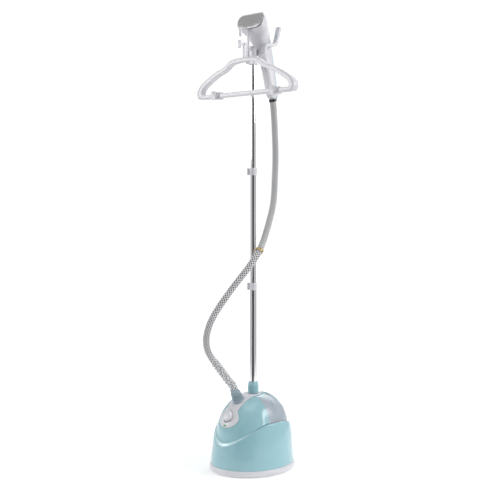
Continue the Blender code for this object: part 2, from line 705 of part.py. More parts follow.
def make_fork(look, mast):
    """Two prongs behind the mast, upturned at their ends, joined by a bridge in front of the handle."""
    prong_path = smooth_line(
        [(0.0155, 1.3880), (0.0175, 1.4030), (0.0260, 1.4130), (0.0420, 1.4145), (0.0560, 1.4155),
         (0.0670, 1.4230), (0.0735, 1.4400), (0.0830, 1.4770)], 2)
    for side, x in (("left", -0.0345), ("right", 0.0345)):
        prong = plate(f"fork_{side}_prong", [strap([tuple(p) for p in prong_path], 0.0100)], 0.0095, None,
                      parent=mast, cutter=True)
        place(prong, (x, 0.0, 0.0), (math.pi / 2, 0, math.pi / 2))
        as_mesh(prong)
    bridge = block("fork", (0.0840, 0.0052, 0.0200), look["white"], parent=mast)
    place(bridge, (0.0, 0.0155, 1.3900))
    for side in ("left", "right"):
        boolean(bridge, bpy.data.objects[f"fork_{side}_prong"], "UNION")


def make_garment_hook(look, mast):
    stem = HOOK_STEM_Y
    path = [(stem, 1.3980), (stem, 1.4250), *arc((stem - 0.0180, 1.4475), 0.0180, 0, 180, 9),
            (stem - 0.0360, 1.4370)]
    hook = plate("garment_hook", [strap(path, 0.0070)], 0.0045, look["white"], 0.0010, parent=mast)
    place(hook, (0, 0, 0), (math.pi / 2, 0, math.pi / 2))


def make_hanger(look, mast):
    outer = [
        (0.0, 1.3700), (0.0400, 1.3690), (0.0680, 1.3635), (0.0860, 1.3520), (0.1050, 1.3435),
        (0.1400, 1.3335), (0.1830, 1.3145), (0.2150, 1.2975), (0.2330, 1.2800), (0.2385, 1.2650),
        (0.2335, 1.2520), (0.2190, 1.2470),
    ]
    inner = [
        (0.0, 1.3565), (0.0400, 1.3555), (0.0660, 1.3500), (0.0840, 1.3385), (0.1030, 1.3295),
        (0.1380, 1.3185), (0.1780, 1.2990), (0.2030, 1.2850), (0.2130, 1.2750), (0.2165, 1.2675),
        (0.2110, 1.2610),
    ]

    def whole(half):
        return half + [(-x, z) for x, z in half if x > 0][::-1]

    hanger = plate("hanger", [whole(outer), whole(inner)], HANGER_DEPTH / 2, look["white"], 0.0030,
                   parent=mast)
    hanger = as_mesh(place(hanger, (0.0, HANGER_Y, 0.0), (math.pi / 2, 0, 0)))
    post = block("hanger_post", (0.0080, 0.0145, 0.0600), None, parent=mast, cutter=True)
    place(post, (0.0, HANGER_Y - 0.0010, 1.3890))
    arm = block("rest_arm", (0.0080, 0.0220, 0.0080), None, parent=mast, cutter=True)
    place(arm, (0.0, -0.0500, 1.4145))
    rest = block("hanger_rest", (0.0130, 0.0040, 0.0260), None, parent=mast, cutter=True)
    place(rest, (0.0, -0.0610, 1.4125))
    boolean(hanger, post, "UNION")
    boolean(hanger, arm, "UNION")
    boolean(hanger, rest, "UNION")


def make_clip(look, mast, name, x):
    """A saddle that slides along the hanger's bar, and a sprung jaw on a pin in front of it."""
    body = block(f"{name}_clip_saddle", (0.0270, HANGER_DEPTH + 0.0080, 0.0250), look["clip"], 0.002,
                 parent=mast)
    place(body, (x, HANGER_Y, BAR_Z))
    channel = block(f"{name}_clip_channel", (0.05, HANGER_DEPTH + 2 * GAP, 2 * BAR_HALF + 2 * GAP), None,
                    parent=mast, cutter=True)
    place(channel, (x, HANGER_Y, BAR_Z))
    boolean(body, channel)
    front = HANGER_Y - HANGER_DEPTH / 2 - 0.0040
    pin = disc(f"{name}_clip_pin", 0.0014, -0.0110, 0.0110, look["steel"], steps=10, parent=mast)
    place(pin, (x, front - 0.0035, BAR_Z), (0, math.pi / 2, 0))
    path = [(0.0, -0.0125), (-0.0006, -0.0070), (0.0, 0.0), (-0.0040, 0.0130)]
    outline = strap([tuple(p) for p in smooth_line(path, 2)], 0.0056)
    jaw = plate(f"{name}_clip_jaw", [outline], 0.0100, look["clip"], 0.0005, parent=mast)
    jaw = as_mesh(place(jaw, (x, front - 0.0035, BAR_Z), (math.pi / 2, 0, math.pi / 2)))
    bore = disc(f"{name}_clip_bore", 0.0017, -0.03, 0.03, None, steps=10, parent=mast, cutter=True)
    place(bore, (x, front - 0.0035, BAR_Z), (0, math.pi / 2, 0))
    boolean(jaw, bore)


# ---------------------------------------------------------------- steam head

def head_ring(section, count=20, shrink=0.0):
    """A level outline of the head: an oval whose front is as wide as stated and whose back is narrow."""
    height, front, back, front_half, back_half = section
    middle, depth = (front + back) / 2, (back - front) / 2 - shrink
    points = []
    for i in range(count):
        turn = 2 * math.pi * i / count
        s, c = math.sin(turn), math.cos(turn)
        y = math.copysign(abs(c) ** 0.72, c)
        x = math.copysign(abs(s) ** 0.72, s)
        half = back_half + (front_half - back_half) * ease((1 - y) / 2) - shrink
        points.append((half * x, middle + depth * y, height))
    return points


def plate_outline(grow=0.0):
    """Straight top, rounded ends and a curved bottom, in the plate's own plane."""
    half = [(0.0, 0.0215), (0.0350, 0.0215), (0.0520, 0.0190), (0.0605, 0.0090), (0.0610, -0.0030),
            (0.0560, -0.0150), (0.0440, -0.0220), (0.0220, -0.0245), (0.0, -0.0250)]
    line = smooth_line(half + [(-x, y) for x, y in half[1:-1]][::-1], 2, closed=True)
    return [p * (1 + grow / 0.04) for p in line]


def handle_axis(distance, offset_x=0.0, offset_y=0.0):
    """A point in the handle, at a distance up its axis from its lower end."""
    up = Vector((0.0, -math.sin(HANDLE_LEAN), math.cos(HANDLE_LEAN)))
    side = Vector((0.0, math.cos(HANDLE_LEAN), math.sin(HANDLE_LEAN)))
    return Vector(HANDLE_END) + up * distance + side * offset_y + Vector((offset_x, 0, 0))


def make_head(look, mast):
    shell = loft("head_shell", [head_ring(s) for s in HEAD_SECTIONS], look["white"], parent=mast)
    face = (math.pi / 2 - PLATE_LEAN, 0, 0)
    out = Vector((0.0, -math.cos(PLATE_LEAN), math.sin(PLATE_LEAN)))
    trim = block("head_front_trim", (0.3, 0.2, 0.1), None, parent=mast, cutter=True)
    place(trim, Vector(PLATE_AT) + out * 0.0512, face)
    boolean(shell, trim)
    chamber = plate("head_chamber", [plate_outline(-0.008)], 0.0120, None, parent=mast, cutter=True)
    chamber = as_mesh(place(chamber, Vector(PLATE_AT) - out * 0.0030, face))
    boolean(shell, chamber)
    hose_bore = disc("hose_bore", HOSE_R + 0.0008, -0.03, 0.066, None, steps=24, parent=mast, cutter=True)
    place(hose_bore, HANDLE_END, (HANDLE_LEAN, 0, 0))
    boolean(shell, hose_bore)
    trigger_well = block("trigger_well", (0.0128, 0.0240, 0.0330), None, parent=mast, cutter=True)
    place(trigger_well, handle_axis(0.110, 0, -0.020), (HANDLE_LEAN, 0, 0))
    boolean(shell, trigger_well)

    cover = plate("steam_plate", [plate_outline()], 0.0010, look["steel"], 0.0004, parent=mast)
    cover = as_mesh(place(cover, Vector(PLATE_AT) + out * 0.0040, face))
    for row, (height, count) in enumerate(((0.0040, 6), (-0.0080, 5))):
        for i in range(count):
            x = 0.0130 * (i - (count - 1) / 2)
            hole = disc(f"steam_hole_{row}_{i}", 0.0016, -0.01, 0.01, None, steps=6, parent=mast, cutter=True)
            up = Vector((0.0, math.sin(PLATE_LEAN), math.cos(PLATE_LEAN)))
            place(hole, Vector(PLATE_AT) + up * height + Vector((x, 0, 0)), face)
            boolean(cover, hole)
    seal = plate("plate_gasket", [plate_outline(), plate_outline(-0.005)], 0.0006, look["black"], parent=mast)
    place(seal, Vector(PLATE_AT) + out * 0.0021, face)

    button = block("steam_trigger", (0.0120, 0.0100, 0.0320), look["white"], 0.0015, parent=mast)
    place(button, handle_axis(0.110, 0, -0.0215), (HANDLE_LEAN, 0, 0))

    end = ring("handle_end_ring", 0.0133, HOSE_R + 0.0005, -0.0080, -0.0003, look["black"], steps=24,
               parent=mast)
    place(end, HANDLE_END, (HANDLE_LEAN, 0, 0))


def cover_zone(name, mast, margin):
    """Everything behind a line a little in front of the handle's back."""
    rings = []
    for height, _, back, _, _ in HEAD_SECTIONS:
        if height < COVER_TOP:
            rings.append((height, back - COVER_DEPTH - margin))
    rings = [(1.2, rings[0][1]), *rings, (COVER_TOP + margin, rings[-1][1] - 0.002)]
    return loft(name, [[(-0.05, y, z), (0.05, y, z), (0.05, 0.14, z), (-0.05, 0.14, z)] for z, y in rings],
                None, parent=mast, cutter=True)


def make_cover(look, mast):
    """The coloured back half of the handle."""
    cover = loft("handle_cover", [head_ring(s) for s in HEAD_SECTIONS], look["aqua"], parent=mast)
    boolean(cover, cover_zone("cover_limit", mast, 0.0), "INTERSECT")
    boolean(cover, bpy.data.objects["hose_bore"])
    boolean(bpy.data.objects["head_shell"], cover_zone("cover_seat", mast, GAP))


# ---------------------------------------------------------------- hose

def make_hose(look, mast):
    """Two lengths of hose that meet inside the brass band."""
    line = even_line(smooth_line(HOSE_ROUTE, 8), 0.004)
    meeting = min(range(len(line)), key=lambda i: abs(line[i].z - SPLIT_Z))
    axis = Vector((0, -math.sin(NUT_LEAN), math.cos(NUT_LEAN)))
    start = Vector(NUT_AT) + axis * HOSE_START
    free = [p for p in line[meeting + 1:] if p.z > 0.300]
    lower = smooth_line(free[::6] + [start + axis * 0.045, start + axis * 0.020, start], 4)
    tube("hose_upper", even_line(line[:meeting], 0.030), HOSE_R, look["hose"], 3, parent=mast)
    tube("hose_lower", even_line(lower, 0.024), HOSE_R, look["hose"], 3, parent=mast)
    along = (line[meeting + 2] - line[meeting - 2]).normalized()
    band = ring("hose_band", 0.0133, HOSE_R + 0.0004, -0.0055, 0.0055, look["brass"], steps=28, parent=mast)
    band.location = line[meeting]
    band.rotation_mode = "QUATERNION"
    band.rotation_quaternion = along.to_track_quat("Z", "Y")


# ---------------------------------------------------------------- everything

def build():
    global PARTS, CUTTERS
    for old in list(bpy.data.objects):
        bpy.data.objects.remove(old, do_unlink=True)
    PARTS = new_collection("garment_steamer")
    CUTTERS = new_collection("cutters")
    look = {
        "white": finish("white_plastic", (0.80, 0.80, 0.86), 0.35),
        "clip": finish("bright_plastic", (0.92, 0.92, 0.93), 0.4),
        "aqua": finish("aqua_plastic", (0.28, 0.56, 0.64), 0.25),
        "pale": finish("pale_aqua_plastic", (0.55, 0.76, 0.82), 0.3),
        "tank": finish("tank_plastic", (0.50, 0.58, 0.68), 0.2, transmission=0.6),
        "slate": finish("slate_plastic", (0.22, 0.30, 0.38), 0.4),
        "grey": finish("grey_plastic", (0.35, 0.36, 0.38), 0.5),
        "black": finish("black_plastic", (0.02, 0.02, 0.02), 0.5),
        "green": finish("green_lens", (0.05, 0.45, 0.12), 0.2),
        "rubber": finish("rubber", (0.05, 0.05, 0.05), 0.8),
        "chrome": finish("chrome", (0.75, 0.75, 0.77), 0.08, 1.0),
        "steel": finish("steel", (0.50, 0.50, 0.50), 0.35, 1.0),
        "aluminium": finish("aluminium", (0.65, 0.65, 0.66), 0.45, 1.0),
        "brass": finish("brass", (0.65, 0.48, 0.22), 0.3, 1.0),
        "hose": finish("braided_hose", (0.62, 0.62, 0.64), 0.5),
    }
    mast = bpy.data.objects.new("mast_axis", None)
    PARTS.objects.link(mast)
    mast.location = (0.0, MAST_Y, 0.0)
    bpy.context.view_layer.update()

    make_base(look)
    make_dome(look, mast)
    make_knob(look, mast)
    make_tank(look)
    make_boiler(look)
    make_pipes(look)
    make_nut(look, mast)
    make_tubes(look, mast)
    clamp(look, mast, 1, CLAMP_Z[0], LOWER_R, MIDDLE_R)
    clamp(look, mast, 2, CLAMP_Z[1], MIDDLE_R, UPPER_R)
    make_head_mount(look, mast)
    make_fork(look, mast)
    make_garment_hook(look, mast)
    make_hanger(look, mast)
    make_clip(look, mast, "left", CLIP_X[0])
    make_clip(look, mast, "right", CLIP_X[1])
    make_head(look, mast)
    make_cover(look, mast)
    make_hose(look, mast)


build()
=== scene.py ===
"""Looks of the garment steamer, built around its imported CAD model.  Metres, +Z up, front towards -Y."""

import json
from math import atan2, copysign, cos, degrees, hypot, pi, radians, sin, sqrt

import bmesh
import bpy
import numpy as np
from mathutils import Matrix, Vector


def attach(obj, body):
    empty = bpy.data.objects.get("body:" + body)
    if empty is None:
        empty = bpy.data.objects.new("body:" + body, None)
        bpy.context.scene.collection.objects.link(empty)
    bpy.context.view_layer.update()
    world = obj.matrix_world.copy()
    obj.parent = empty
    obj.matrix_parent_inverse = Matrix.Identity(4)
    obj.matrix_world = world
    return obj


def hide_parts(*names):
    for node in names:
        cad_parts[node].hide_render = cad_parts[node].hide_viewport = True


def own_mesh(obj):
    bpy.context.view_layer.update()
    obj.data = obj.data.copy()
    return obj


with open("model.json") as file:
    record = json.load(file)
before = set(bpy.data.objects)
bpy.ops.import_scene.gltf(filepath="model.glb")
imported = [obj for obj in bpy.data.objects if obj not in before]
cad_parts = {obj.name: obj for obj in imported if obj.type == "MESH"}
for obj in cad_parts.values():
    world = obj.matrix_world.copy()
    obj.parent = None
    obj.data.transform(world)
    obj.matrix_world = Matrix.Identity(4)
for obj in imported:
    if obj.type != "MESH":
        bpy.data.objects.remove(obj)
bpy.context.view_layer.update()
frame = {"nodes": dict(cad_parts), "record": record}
NODES = frame["nodes"]
SLOTS = {entry["node"]: entry["material_slot"] for entry in frame["record"]["subparts"]}

MAST = Vector((0.0, 0.004, 0.0))
GAP = 0.0003
WALL = 0.0025


def linked(name, data):
    made = bpy.data.objects.new(name, data)
    bpy.context.scene.collection.objects.link(made)
    return made


def node(tree, kind, **values):
    new = tree.nodes.new("ShaderNode" + kind)
    for key, value in values.items():
        new.inputs[key.replace("_", " ")].default_value = value
    return new


def link(tree, source, output, target, entry):
    tree.links.new(source.outputs[output], target.inputs[entry])


def stage_mesh(name, corners, faces, color, roughness=0.5):
    """A mesh that belongs to the studio, and its shader."""
    mesh = bpy.data.meshes.new(name)
    mesh.from_pydata(corners, [], faces)
    finish = bpy.data.materials.new(name)
    finish.use_nodes = True
    shader = finish.node_tree.nodes["Principled BSDF"]
    shader.inputs["Base Color"].default_value = (*color, 1.0)
    shader.inputs["Roughness"].default_value = roughness
    mesh.materials.append(finish)
    made = linked(name, mesh)
    return made, shader


# -------- camera, light and floor

def make_stage():
    camera_data = bpy.data.cameras.new("camera")
    camera_data.lens = 70.7
    camera_data.sensor_width = 36.0
    camera = linked("camera", camera_data)
    camera.location = (2.4375, -2.1908, 0.965)
    camera.rotation_euler = (radians(86.015), 0.0, radians(48.19))
    bpy.context.scene.camera = camera

    _, shader = stage_mesh("floor", [(-1.5, -1.5, 0), (1.5, -1.5, 0), (1.5, 1.5, 0), (-1.5, 1.5, 0)],
                           [(0, 1, 2, 3)], (0.93, 0.93, 0.93), 0.9)
    shader.inputs["Emission Color"].default_value = (1.0, 1.0, 1.0, 1.0)
    shader.inputs["Emission Strength"].default_value = 0.22
    # a dark sector of the floor that only reflections see
    turns = [radians(8 + 6 * k) for k in range(11)]
    corners = [(r * sin(t), -r * cos(t), 0.004) for r in (0.75, 3.0) for t in turns]
    card, _ = stage_mesh("dark_card", corners, [(k, k + 11, k + 12, k + 1) for k in range(10)],
                         (0.01, 0.01, 0.012))
    card.visible_camera = card.visible_diffuse = card.visible_shadow = card.visible_transmission = False
    bpy.context.scene.view_settings.view_transform = "Standard"

    for name, place, size, power in (
        ("key", (2.6, 1.5, 2.1), 1.6, 44.0), ("left", (-2.3, -2.1, 1.6), 1.0, 22.0),
        ("top", (0.3, -0.6, 3.4), 2.0, 16.0), ("back", (-1.2, 2.6, 2.2), 1.6, 22.0),
    ):
        light_data = bpy.data.lights.new(name, "AREA")
        light_data.shape = "SQUARE"
        light_data.size = size
        light_data.energy = power
        light = linked(name, light_data)
        light.location = place
        light.rotation_euler = (Vector((0, 0, 0.7)) - light.location).to_track_quat("-Z", "Y").to_euler()

    world = bpy.data.worlds.new("studio")
    bpy.context.scene.world = world
    world.use_nodes = True
    tree = world.node_tree
    sky = tree.nodes["Background"]
    where = node(tree, "TexCoord")
    dot = node(tree, "VectorMath")
    dot.operation = "DOT_PRODUCT"
    dot.inputs[1].default_value = (sin(radians(42)), -cos(radians(42)), 0.0)
    ramp = node(tree, "ValToRGB")
    shades = (1.0, 1.0, 1.0), (0.05, 0.05, 0.06)
    for stop, place, color in zip(ramp.color_ramp.elements, (0.8, 0.9), shades):
        stop.position = place
        stop.color = (*color, 1.0)
    seen = node(tree, "LightPath")
    plain = node(tree, "Mix")
    plain.data_type = "RGBA"
    plain.inputs["B"].default_value = (1.9, 1.9, 1.9, 1.0)
    link(tree, where, "Generated", dot, 0)
    link(tree, dot, "Value", ramp, 0)
    link(tree, seen, "Is Camera Ray", plain, "Factor")
    link(tree, ramp, 0, plain, "A")
    link(tree, plain, "Result", sky, "Color")
    sky.inputs["Strength"].default_value = 0.58


# -------- materials

def look(name, color, rough, metal=0.0, coat=0.0, grain=0.05, grain_size=0.0008, vary=0.04, stretch=(1, 1, 1),
         transmission=0.0):
    """A moulded or metal finish: faint tone drift, uneven gloss and a fine grain."""
    made = bpy.data.materials.new(name)
    made.use_nodes = True
    tree = made.node_tree
    shader = tree.nodes["Principled BSDF"]

    where = node(tree, "TexCoord")
    scale = node(tree, "Mapping", Scale=stretch)
    link(tree, where, "Object", scale, "Vector")
    drift = node(tree, "TexNoise", Scale=28.0, Detail=3.0)
    link(tree, scale, "Vector", drift, "Vector")
    tone = node(tree, "ValToRGB")
    for stop, place, factor in zip(tone.color_ramp.elements, (0.3, 0.7), (1 - vary, 1 + vary)):
        stop.position = place
        stop.color = (*[min(1.0, c * factor) for c in color], 1.0)
    link(tree, drift, "Fac", tone, "Fac")
    link(tree, tone, "Color", shader, "Base Color")
    gloss = node(tree, "MapRange", To_Min=rough * 0.85, To_Max=min(1.0, rough * 1.15))
    link(tree, drift, "Fac", gloss, "Value")
    link(tree, gloss, "Result", shader, "Roughness")
    fine = node(tree, "TexNoise", Scale=1.0 / grain_size, Detail=2.0)
    link(tree, scale, "Vector", fine, "Vector")
    bump = node(tree, "Bump", Strength=grain, Distance=0.0002)
    link(tree, fine, "Fac", bump, "Height")
    link(tree, bump, "Normal", shader, "Normal")
    for key, value in (("Metallic", metal), ("Coat Weight", coat), ("Coat Roughness", 0.08),
                       ("Transmission Weight", transmission)):
        shader.inputs[key].default_value = value
    return made


LOOKS = {
    "white_plastic": look("moulded_white", (0.72, 0.72, 0.76), 0.32, coat=0.15, grain=0.08),
    "bright_plastic": look("bright_white", (0.84, 0.84, 0.86), 0.38, grain=0.1),
    "aqua_plastic": look("aqua_gloss", (0.31, 0.55, 0.61), 0.24, coat=0.5, grain=0.02, vary=0.02),
    "pale_aqua_plastic": look("pale_aqua_gloss", (0.52, 0.76, 0.82), 0.25, coat=0.4, grain=0.02, vary=0.02),
    "tank_plastic": look("frosted_tank", (0.56, 0.64, 0.72), 0.3, coat=0.2, grain=0.15, grain_size=0.0006,
                         transmission=0.35),
    "slate_plastic": look("slate_grip", (0.33, 0.42, 0.48), 0.42, grain=0.2),
    "grey_plastic": look("grey_moulding", (0.3, 0.31, 0.33), 0.5, grain=0.15),
    "black_plastic": look("black_moulding", (0.02, 0.02, 0.022), 0.45, grain=0.2),
    "green_lens": look("green_lens", (0.05, 0.5, 0.14), 0.15, coat=0.6, transmission=0.3),
    "rubber": look("soft_rubber", (0.045, 0.045, 0.045), 0.75, grain=0.35),
    "chrome": look("polished_chrome", (0.8, 0.8, 0.82), 0.07, metal=1.0, grain=0.01, stretch=(1, 1, 0.05)),
    "steel": look("satin_steel", (0.52, 0.52, 0.53), 0.34, metal=1.0, grain=0.15, stretch=(0.06, 1, 1)),
    "aluminium": look("cast_aluminium", (0.62, 0.62, 0.64), 0.5, metal=1.0, grain=0.5, grain_size=0.0015),
    "brass": look("worn_brass", (0.5, 0.39, 0.2), 0.34, metal=1.0, grain=0.1, vary=0.1),
    "braided_hose": look("silver_braid", (0.86, 0.86, 0.88), 0.38, metal=0.0, grain=0.5, grain_size=0.0005),
}
DARK = look("dark_core", (0.008, 0.008, 0.01), 0.6, grain=0.2)
PRINT = look("grey_print", (0.22, 0.24, 0.28), 0.5, grain=0.02)
CLEAR = look("clear_spring", (0.8, 0.82, 0.84), 0.18, metal=0.1, coat=0.5, grain=0.05)


def dress_frame():
    """Every CAD node gets the look of its material slot."""
    for node, slot in SLOTS.items():
        NODES[node].data.materials.clear()
        NODES[node].data.materials.append(LOOKS[slot])


# -------- mesh helpers

def piece(name, verts, faces, finish, body=None, nodes=(), sharp=38):
    """Makes a smooth-shaded piece, which may ride on a body and stand for CAD nodes."""
    mesh = bpy.data.meshes.new(name)
    mesh.from_pydata([tuple(v) for v in verts], [], faces)
    made = linked(name, mesh)
    mesh.materials.append(LOOKS.get(finish, finish))
    shade(made, sharp)
    if body:
        enlist(made, body, nodes)
    return made


def enlist(made, body, nodes=()):
    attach(made, body)
    if nodes:
        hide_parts(*nodes)
    return made


def shade(made, sharp=38):
    work = bmesh.new()
    work.from_mesh(made.data)
    bmesh.ops.recalc_face_normals(work, faces=work.faces)
    for face in work.faces:
        face.smooth = True
    for edge in work.edges:
        edge.smooth = len(edge.link_faces) != 2 or edge.calc_face_angle(0.0) < radians(sharp)
    work.to_mesh(made.data)
    work.free()


def settle(made, sharp=38):
    """Applies the piece's modifiers."""
    bpy.context.view_layer.update()
    seen = made.evaluated_get(bpy.context.evaluated_depsgraph_get())
    mesh = bpy.data.meshes.new_from_object(seen)
    made.modifiers.clear()
    made.data = mesh
    shade(made, sharp)
    return made


def cut(made, *tools, operation="DIFFERENCE", sharp=38):
    for tool in tools:
        change = made.modifiers.new("cut", "BOOLEAN")
        change.operation = operation
        change.object = tool
        change.solver = "EXACT"
    settle(made, sharp)
    for tool in tools:
        bpy.data.objects.remove(tool)
    return made


def rounded(made, width, segments=2, angle=38):
    change = made.modifiers.new("edges", "BEVEL")
    change.width = width
    change.segments = segments
    change.limit_method = "ANGLE"
    change.angle_limit = radians(angle)
    change.use_clamp_overlap = True
    return settle(made)


def grid_faces(rows, columns, close_rows=False, close_columns=False, start=0):
    faces = []
    for r in range(rows if close_rows else rows - 1):
        for c in range(columns if close_columns else columns - 1):
            a = r * columns + c
            b = r * columns + (c + 1) % columns
            d = ((r + 1) % rows) * columns + c
            e = ((r + 1) % rows) * columns + (c + 1) % columns
            faces.append((start + a, start + b, start + e, start + d))
    return faces


def move(x, y, z):
    return Matrix.Translation((x, y, z))


def end_faces(rows, count):
    return [tuple(range(count))[::-1], tuple(range((rows - 1) * count, rows * count))]


def aim(location, rotation):
    return Matrix.Translation(location) @ Matrix.Rotation(rotation, 4, "X")


def lathe(profile, steps, place=None, closed=True):
    """(radius, height) points turned about Z; a closed profile is a ring, an open one ends on the axis."""
    verts, faces = [], []
    inner = [p for p in profile if p[0] > 1e-6]
    for r, z in inner:
        verts += [(r * cos(2 * pi * i / steps), r * sin(2 * pi * i / steps), z)
                  for i in range(steps)]
    faces += grid_faces(len(inner), steps, closed, True)
    if not closed:
        faces.append(tuple(range(steps)))
        faces.append(tuple(range((len(inner) - 1) * steps, len(inner) * steps)))
    if place is not None:
        verts = [place @ Vector(v) for v in verts]
    return verts, faces


def turned(name, profile, steps, place, finish, body=None, nodes=(), closed=True):
    verts, faces = lathe(profile, steps, place, closed)
    return piece(name, verts, faces, finish, body, nodes)


def arc2(center, radius, start, end, count):
    angles = [radians(start + (end - start) * k / (count - 1)) for k in range(count)]
    return [(center[0] + radius * cos(a), center[1] + radius * sin(a)) for a in angles]


def smooth_line(points, spans, closed=False):
    """Catmull-Rom curve through the points, with some steps to each span."""
    given = [Vector(p) for p in points]
    count = len(given)
    ends = [2 * given[0] - given[1], *given, 2 * given[-1] - given[-2]]
    line = []
    for i in range(count if closed else count - 1):
        if closed:
            a, b, c, d = (given[(i + k) % count] for k in (-1, 0, 1, 2))
        else:
            a, b, c, d = ends[i:i + 4]
        for k in range(spans):
            t = k / spans
            line.append(0.5 * (2 * b + (c - a) * t + (2 * a - 5 * b + 4 * c - d) * t * t
                               + (3 * b - a - 3 * c + d) * t ** 3))
    if not closed:
        line.append(given[-1])
    return line


def even_line(line, step):
    flat = np.array([tuple(p) for p in line])
    along = np.concatenate(([0.0], np.cumsum(np.linalg.norm(np.diff(flat, axis=0), axis=1))))
    marks = np.linspace(0.0, along[-1], max(2, round(along[-1] / step) + 1))
    return [Vector([float(np.interp(m, along, flat[:, k])) for k in range(flat.shape[1])]) for m in marks]


def line_frames(line, first=(1.0, 0.0, 0.0)):
    """Tangent and two cross directions at each point, without twist."""
    flat = np.array([tuple(p) for p in line])
    tangents = np.gradient(flat, axis=0)
    tangents /= np.linalg.norm(tangents, axis=1)[:, None]
    normals = np.zeros_like(flat)
    normal = np.array(first, float)
    for i, t in enumerate(tangents):
        normal = normal - t * normal.dot(t)
        normal /= np.linalg.norm(normal)
        normals[i] = normal
    return flat, tangents, normals, np.cross(tangents, normals)


def sweep(line, section, first=(1.0, 0.0, 0.0), scale=None):
    """A closed section carried along a line, with flat ends."""
    flat, _, normals, sides = line_frames(line, first)
    verts, count = [], len(section)
    for i in range(len(flat)):
        size = scale(i / (len(flat) - 1)) if scale else 1.0
        verts += [flat[i] + (a * normals[i] + b * sides[i]) * size for a, b in section]
    faces = grid_faces(len(flat), count, False, True)
    return verts, faces + end_faces(len(flat), count)


def round_section(radius, count=10):
    return [(radius * cos(2 * pi * i / count), radius * sin(2 * pi * i / count))
            for i in range(count)]


def pill_section(width, height, corner, steps=3):
    section = []
    for sx, sy, start in ((1, 1, 0), (-1, 1, 90), (-1, -1, 180), (1, -1, 270)):
        center = (sx * (width / 2 - corner), sy * (height / 2 - corner))
        section += arc2(center, corner, start, start + 90, steps)
    return section


def solid_block(name, size, place):
    """A plain cutter."""
    x, y, z = (s / 2 for s in size)
    corners = [(a * x, b * y, c * z) for c in (-1, 1) for a, b in ((-1, -1), (1, -1), (1, 1), (-1, 1))]
    faces = [(0, 3, 2, 1), (4, 5, 6, 7), (0, 1, 5, 4), (1, 2, 6, 5), (2, 3, 7, 6), (3, 0, 4, 7)]
    return piece(name, [place @ Vector(c) for c in corners], faces, DARK)


def solid_disc(name, radius, low, high, place, steps=48):
    verts, faces = lathe([(radius, high), (radius, low)], steps, place, closed=False)
    return piece(name, verts, faces, DARK)


def prism(name, outline, low, high, place, finish=DARK):
    count = len(outline)
    verts = [place @ Vector((p[0], p[1], z)) for z in (low, high) for p in outline]
    return piece(name, verts, grid_faces(2, count, False, True) + end_faces(2, count), finish)


# -------- the form of the base

BASE_X, BASE_Y = 0.93, 1.054
SHELL_Z = 0.0225
WAVE_FRONT, WAVE_CREST, WAVE_BACK = 0.092, 0.168, 0.138
LIP_RISE, LIP_INSET, LIP_END = 0.013, 0.008, radians(62)
DOME_TOP = 0.25
BACKWARDS = 0.006
TANK_FRONT_Y, TANK_MAST_R = -0.013, 0.042
DOME = [
    (0.14, 0.0225), (0.1385, 0.045), (0.1358, 0.075), (0.1338, 0.1), (0.131, 0.12),
    (0.127, 0.14), (0.1212, 0.158), (0.1138, 0.175), (0.1052, 0.192), (0.096, 0.206),
    (0.086, 0.218), (0.073, 0.23), (0.059, 0.24), (0.043, 0.247), (0.03, 0.2495),
    (0.015, DOME_TOP),
]
PROFILE = smooth_line(DOME, 6)
PROFILE_R = np.array([p[0] for p in PROFILE])
PROFILE_Z = np.array([p[1] for p in PROFILE])
STEPS = np.arange(len(PROFILE_R))
DOME_COLUMNS = 176


def ease(t):
    t = min(1.0, max(0.0, t))
    return t * t * (3 - 2 * t)


def wave(angle):
    """Height of the lower shell's top edge; the angle is from the front, towards either side."""
    turn = abs(degrees(angle))
    rise = (WAVE_CREST - WAVE_FRONT) * ease(turn / 78)
    fall = (WAVE_CREST - WAVE_BACK) * ease((turn - 95) / 85)
    return WAVE_FRONT + rise - fall


def lip(angle):
    return 1.0 - ease(abs(angle) / LIP_END)


def rear(angle):
    return ease((abs(degrees(angle)) - 66) / 14)


def inset(angle):
    return 0.0012 + (LIP_INSET - 0.0012) * lip(angle) + 0.0056 * rear(angle)


def shell_radius(height):
    return float(np.interp(height, PROFILE_Z, PROFILE_R))


def upper_edge(angle):
    return wave(angle) + LIP_RISE * lip(angle) + 0.0012


def on_ellipse(angle, radius, height):
    back = BACKWARDS * ease((height - 0.05) / 0.13)
    return Vector((BASE_X * radius * sin(angle), back - BASE_Y * radius * cos(angle), height))


def dome_point(angle, share, proud=0.0, top_radius=0.015):
    """A point of the upper dome: share 0 on its lower edge, 1 at the mast."""
    low = upper_edge(angle)
    first = float(np.interp(low, PROFILE_Z, STEPS))
    last = float(np.interp(-top_radius, -PROFILE_R, STEPS))
    at = first + (last - first) * share
    radius = float(np.interp(at, STEPS, PROFILE_R))
    height = float(np.interp(at, STEPS, PROFILE_Z))
    radius -= inset(angle) * (1.0 - ease((height - low) / 0.055))
    ahead = min(at + 1, len(PROFILE_R) - 1)
    slope = Vector((
        float(np.interp(ahead, STEPS, PROFILE_Z)) - float(np.interp(ahead - 2, STEPS, PROFILE_Z)),
        float(np.interp(ahead - 2, STEPS, PROFILE_R)) - float(np.interp(ahead, STEPS, PROFILE_R)),
    )).normalized()
    return on_ellipse(angle, radius + proud * slope.x, height + proud * slope.y)


def dome_shell(name, proud, thickness, finish):
    """The dome as a closed wall, to be cut to a piece's outline."""
    columns, rows = DOME_COLUMNS, 34
    verts = []
    for depth in (proud, proud - thickness):
        order = range(rows + 1) if depth == proud else range(rows, -1, -1)
        for r in order:
            verts += [dome_point(pi * (2 * c / columns - 1), r / rows, depth) for c in range(columns)]
    return piece(name, verts, grid_faces(2 * (rows + 1), columns, True, True), finish)


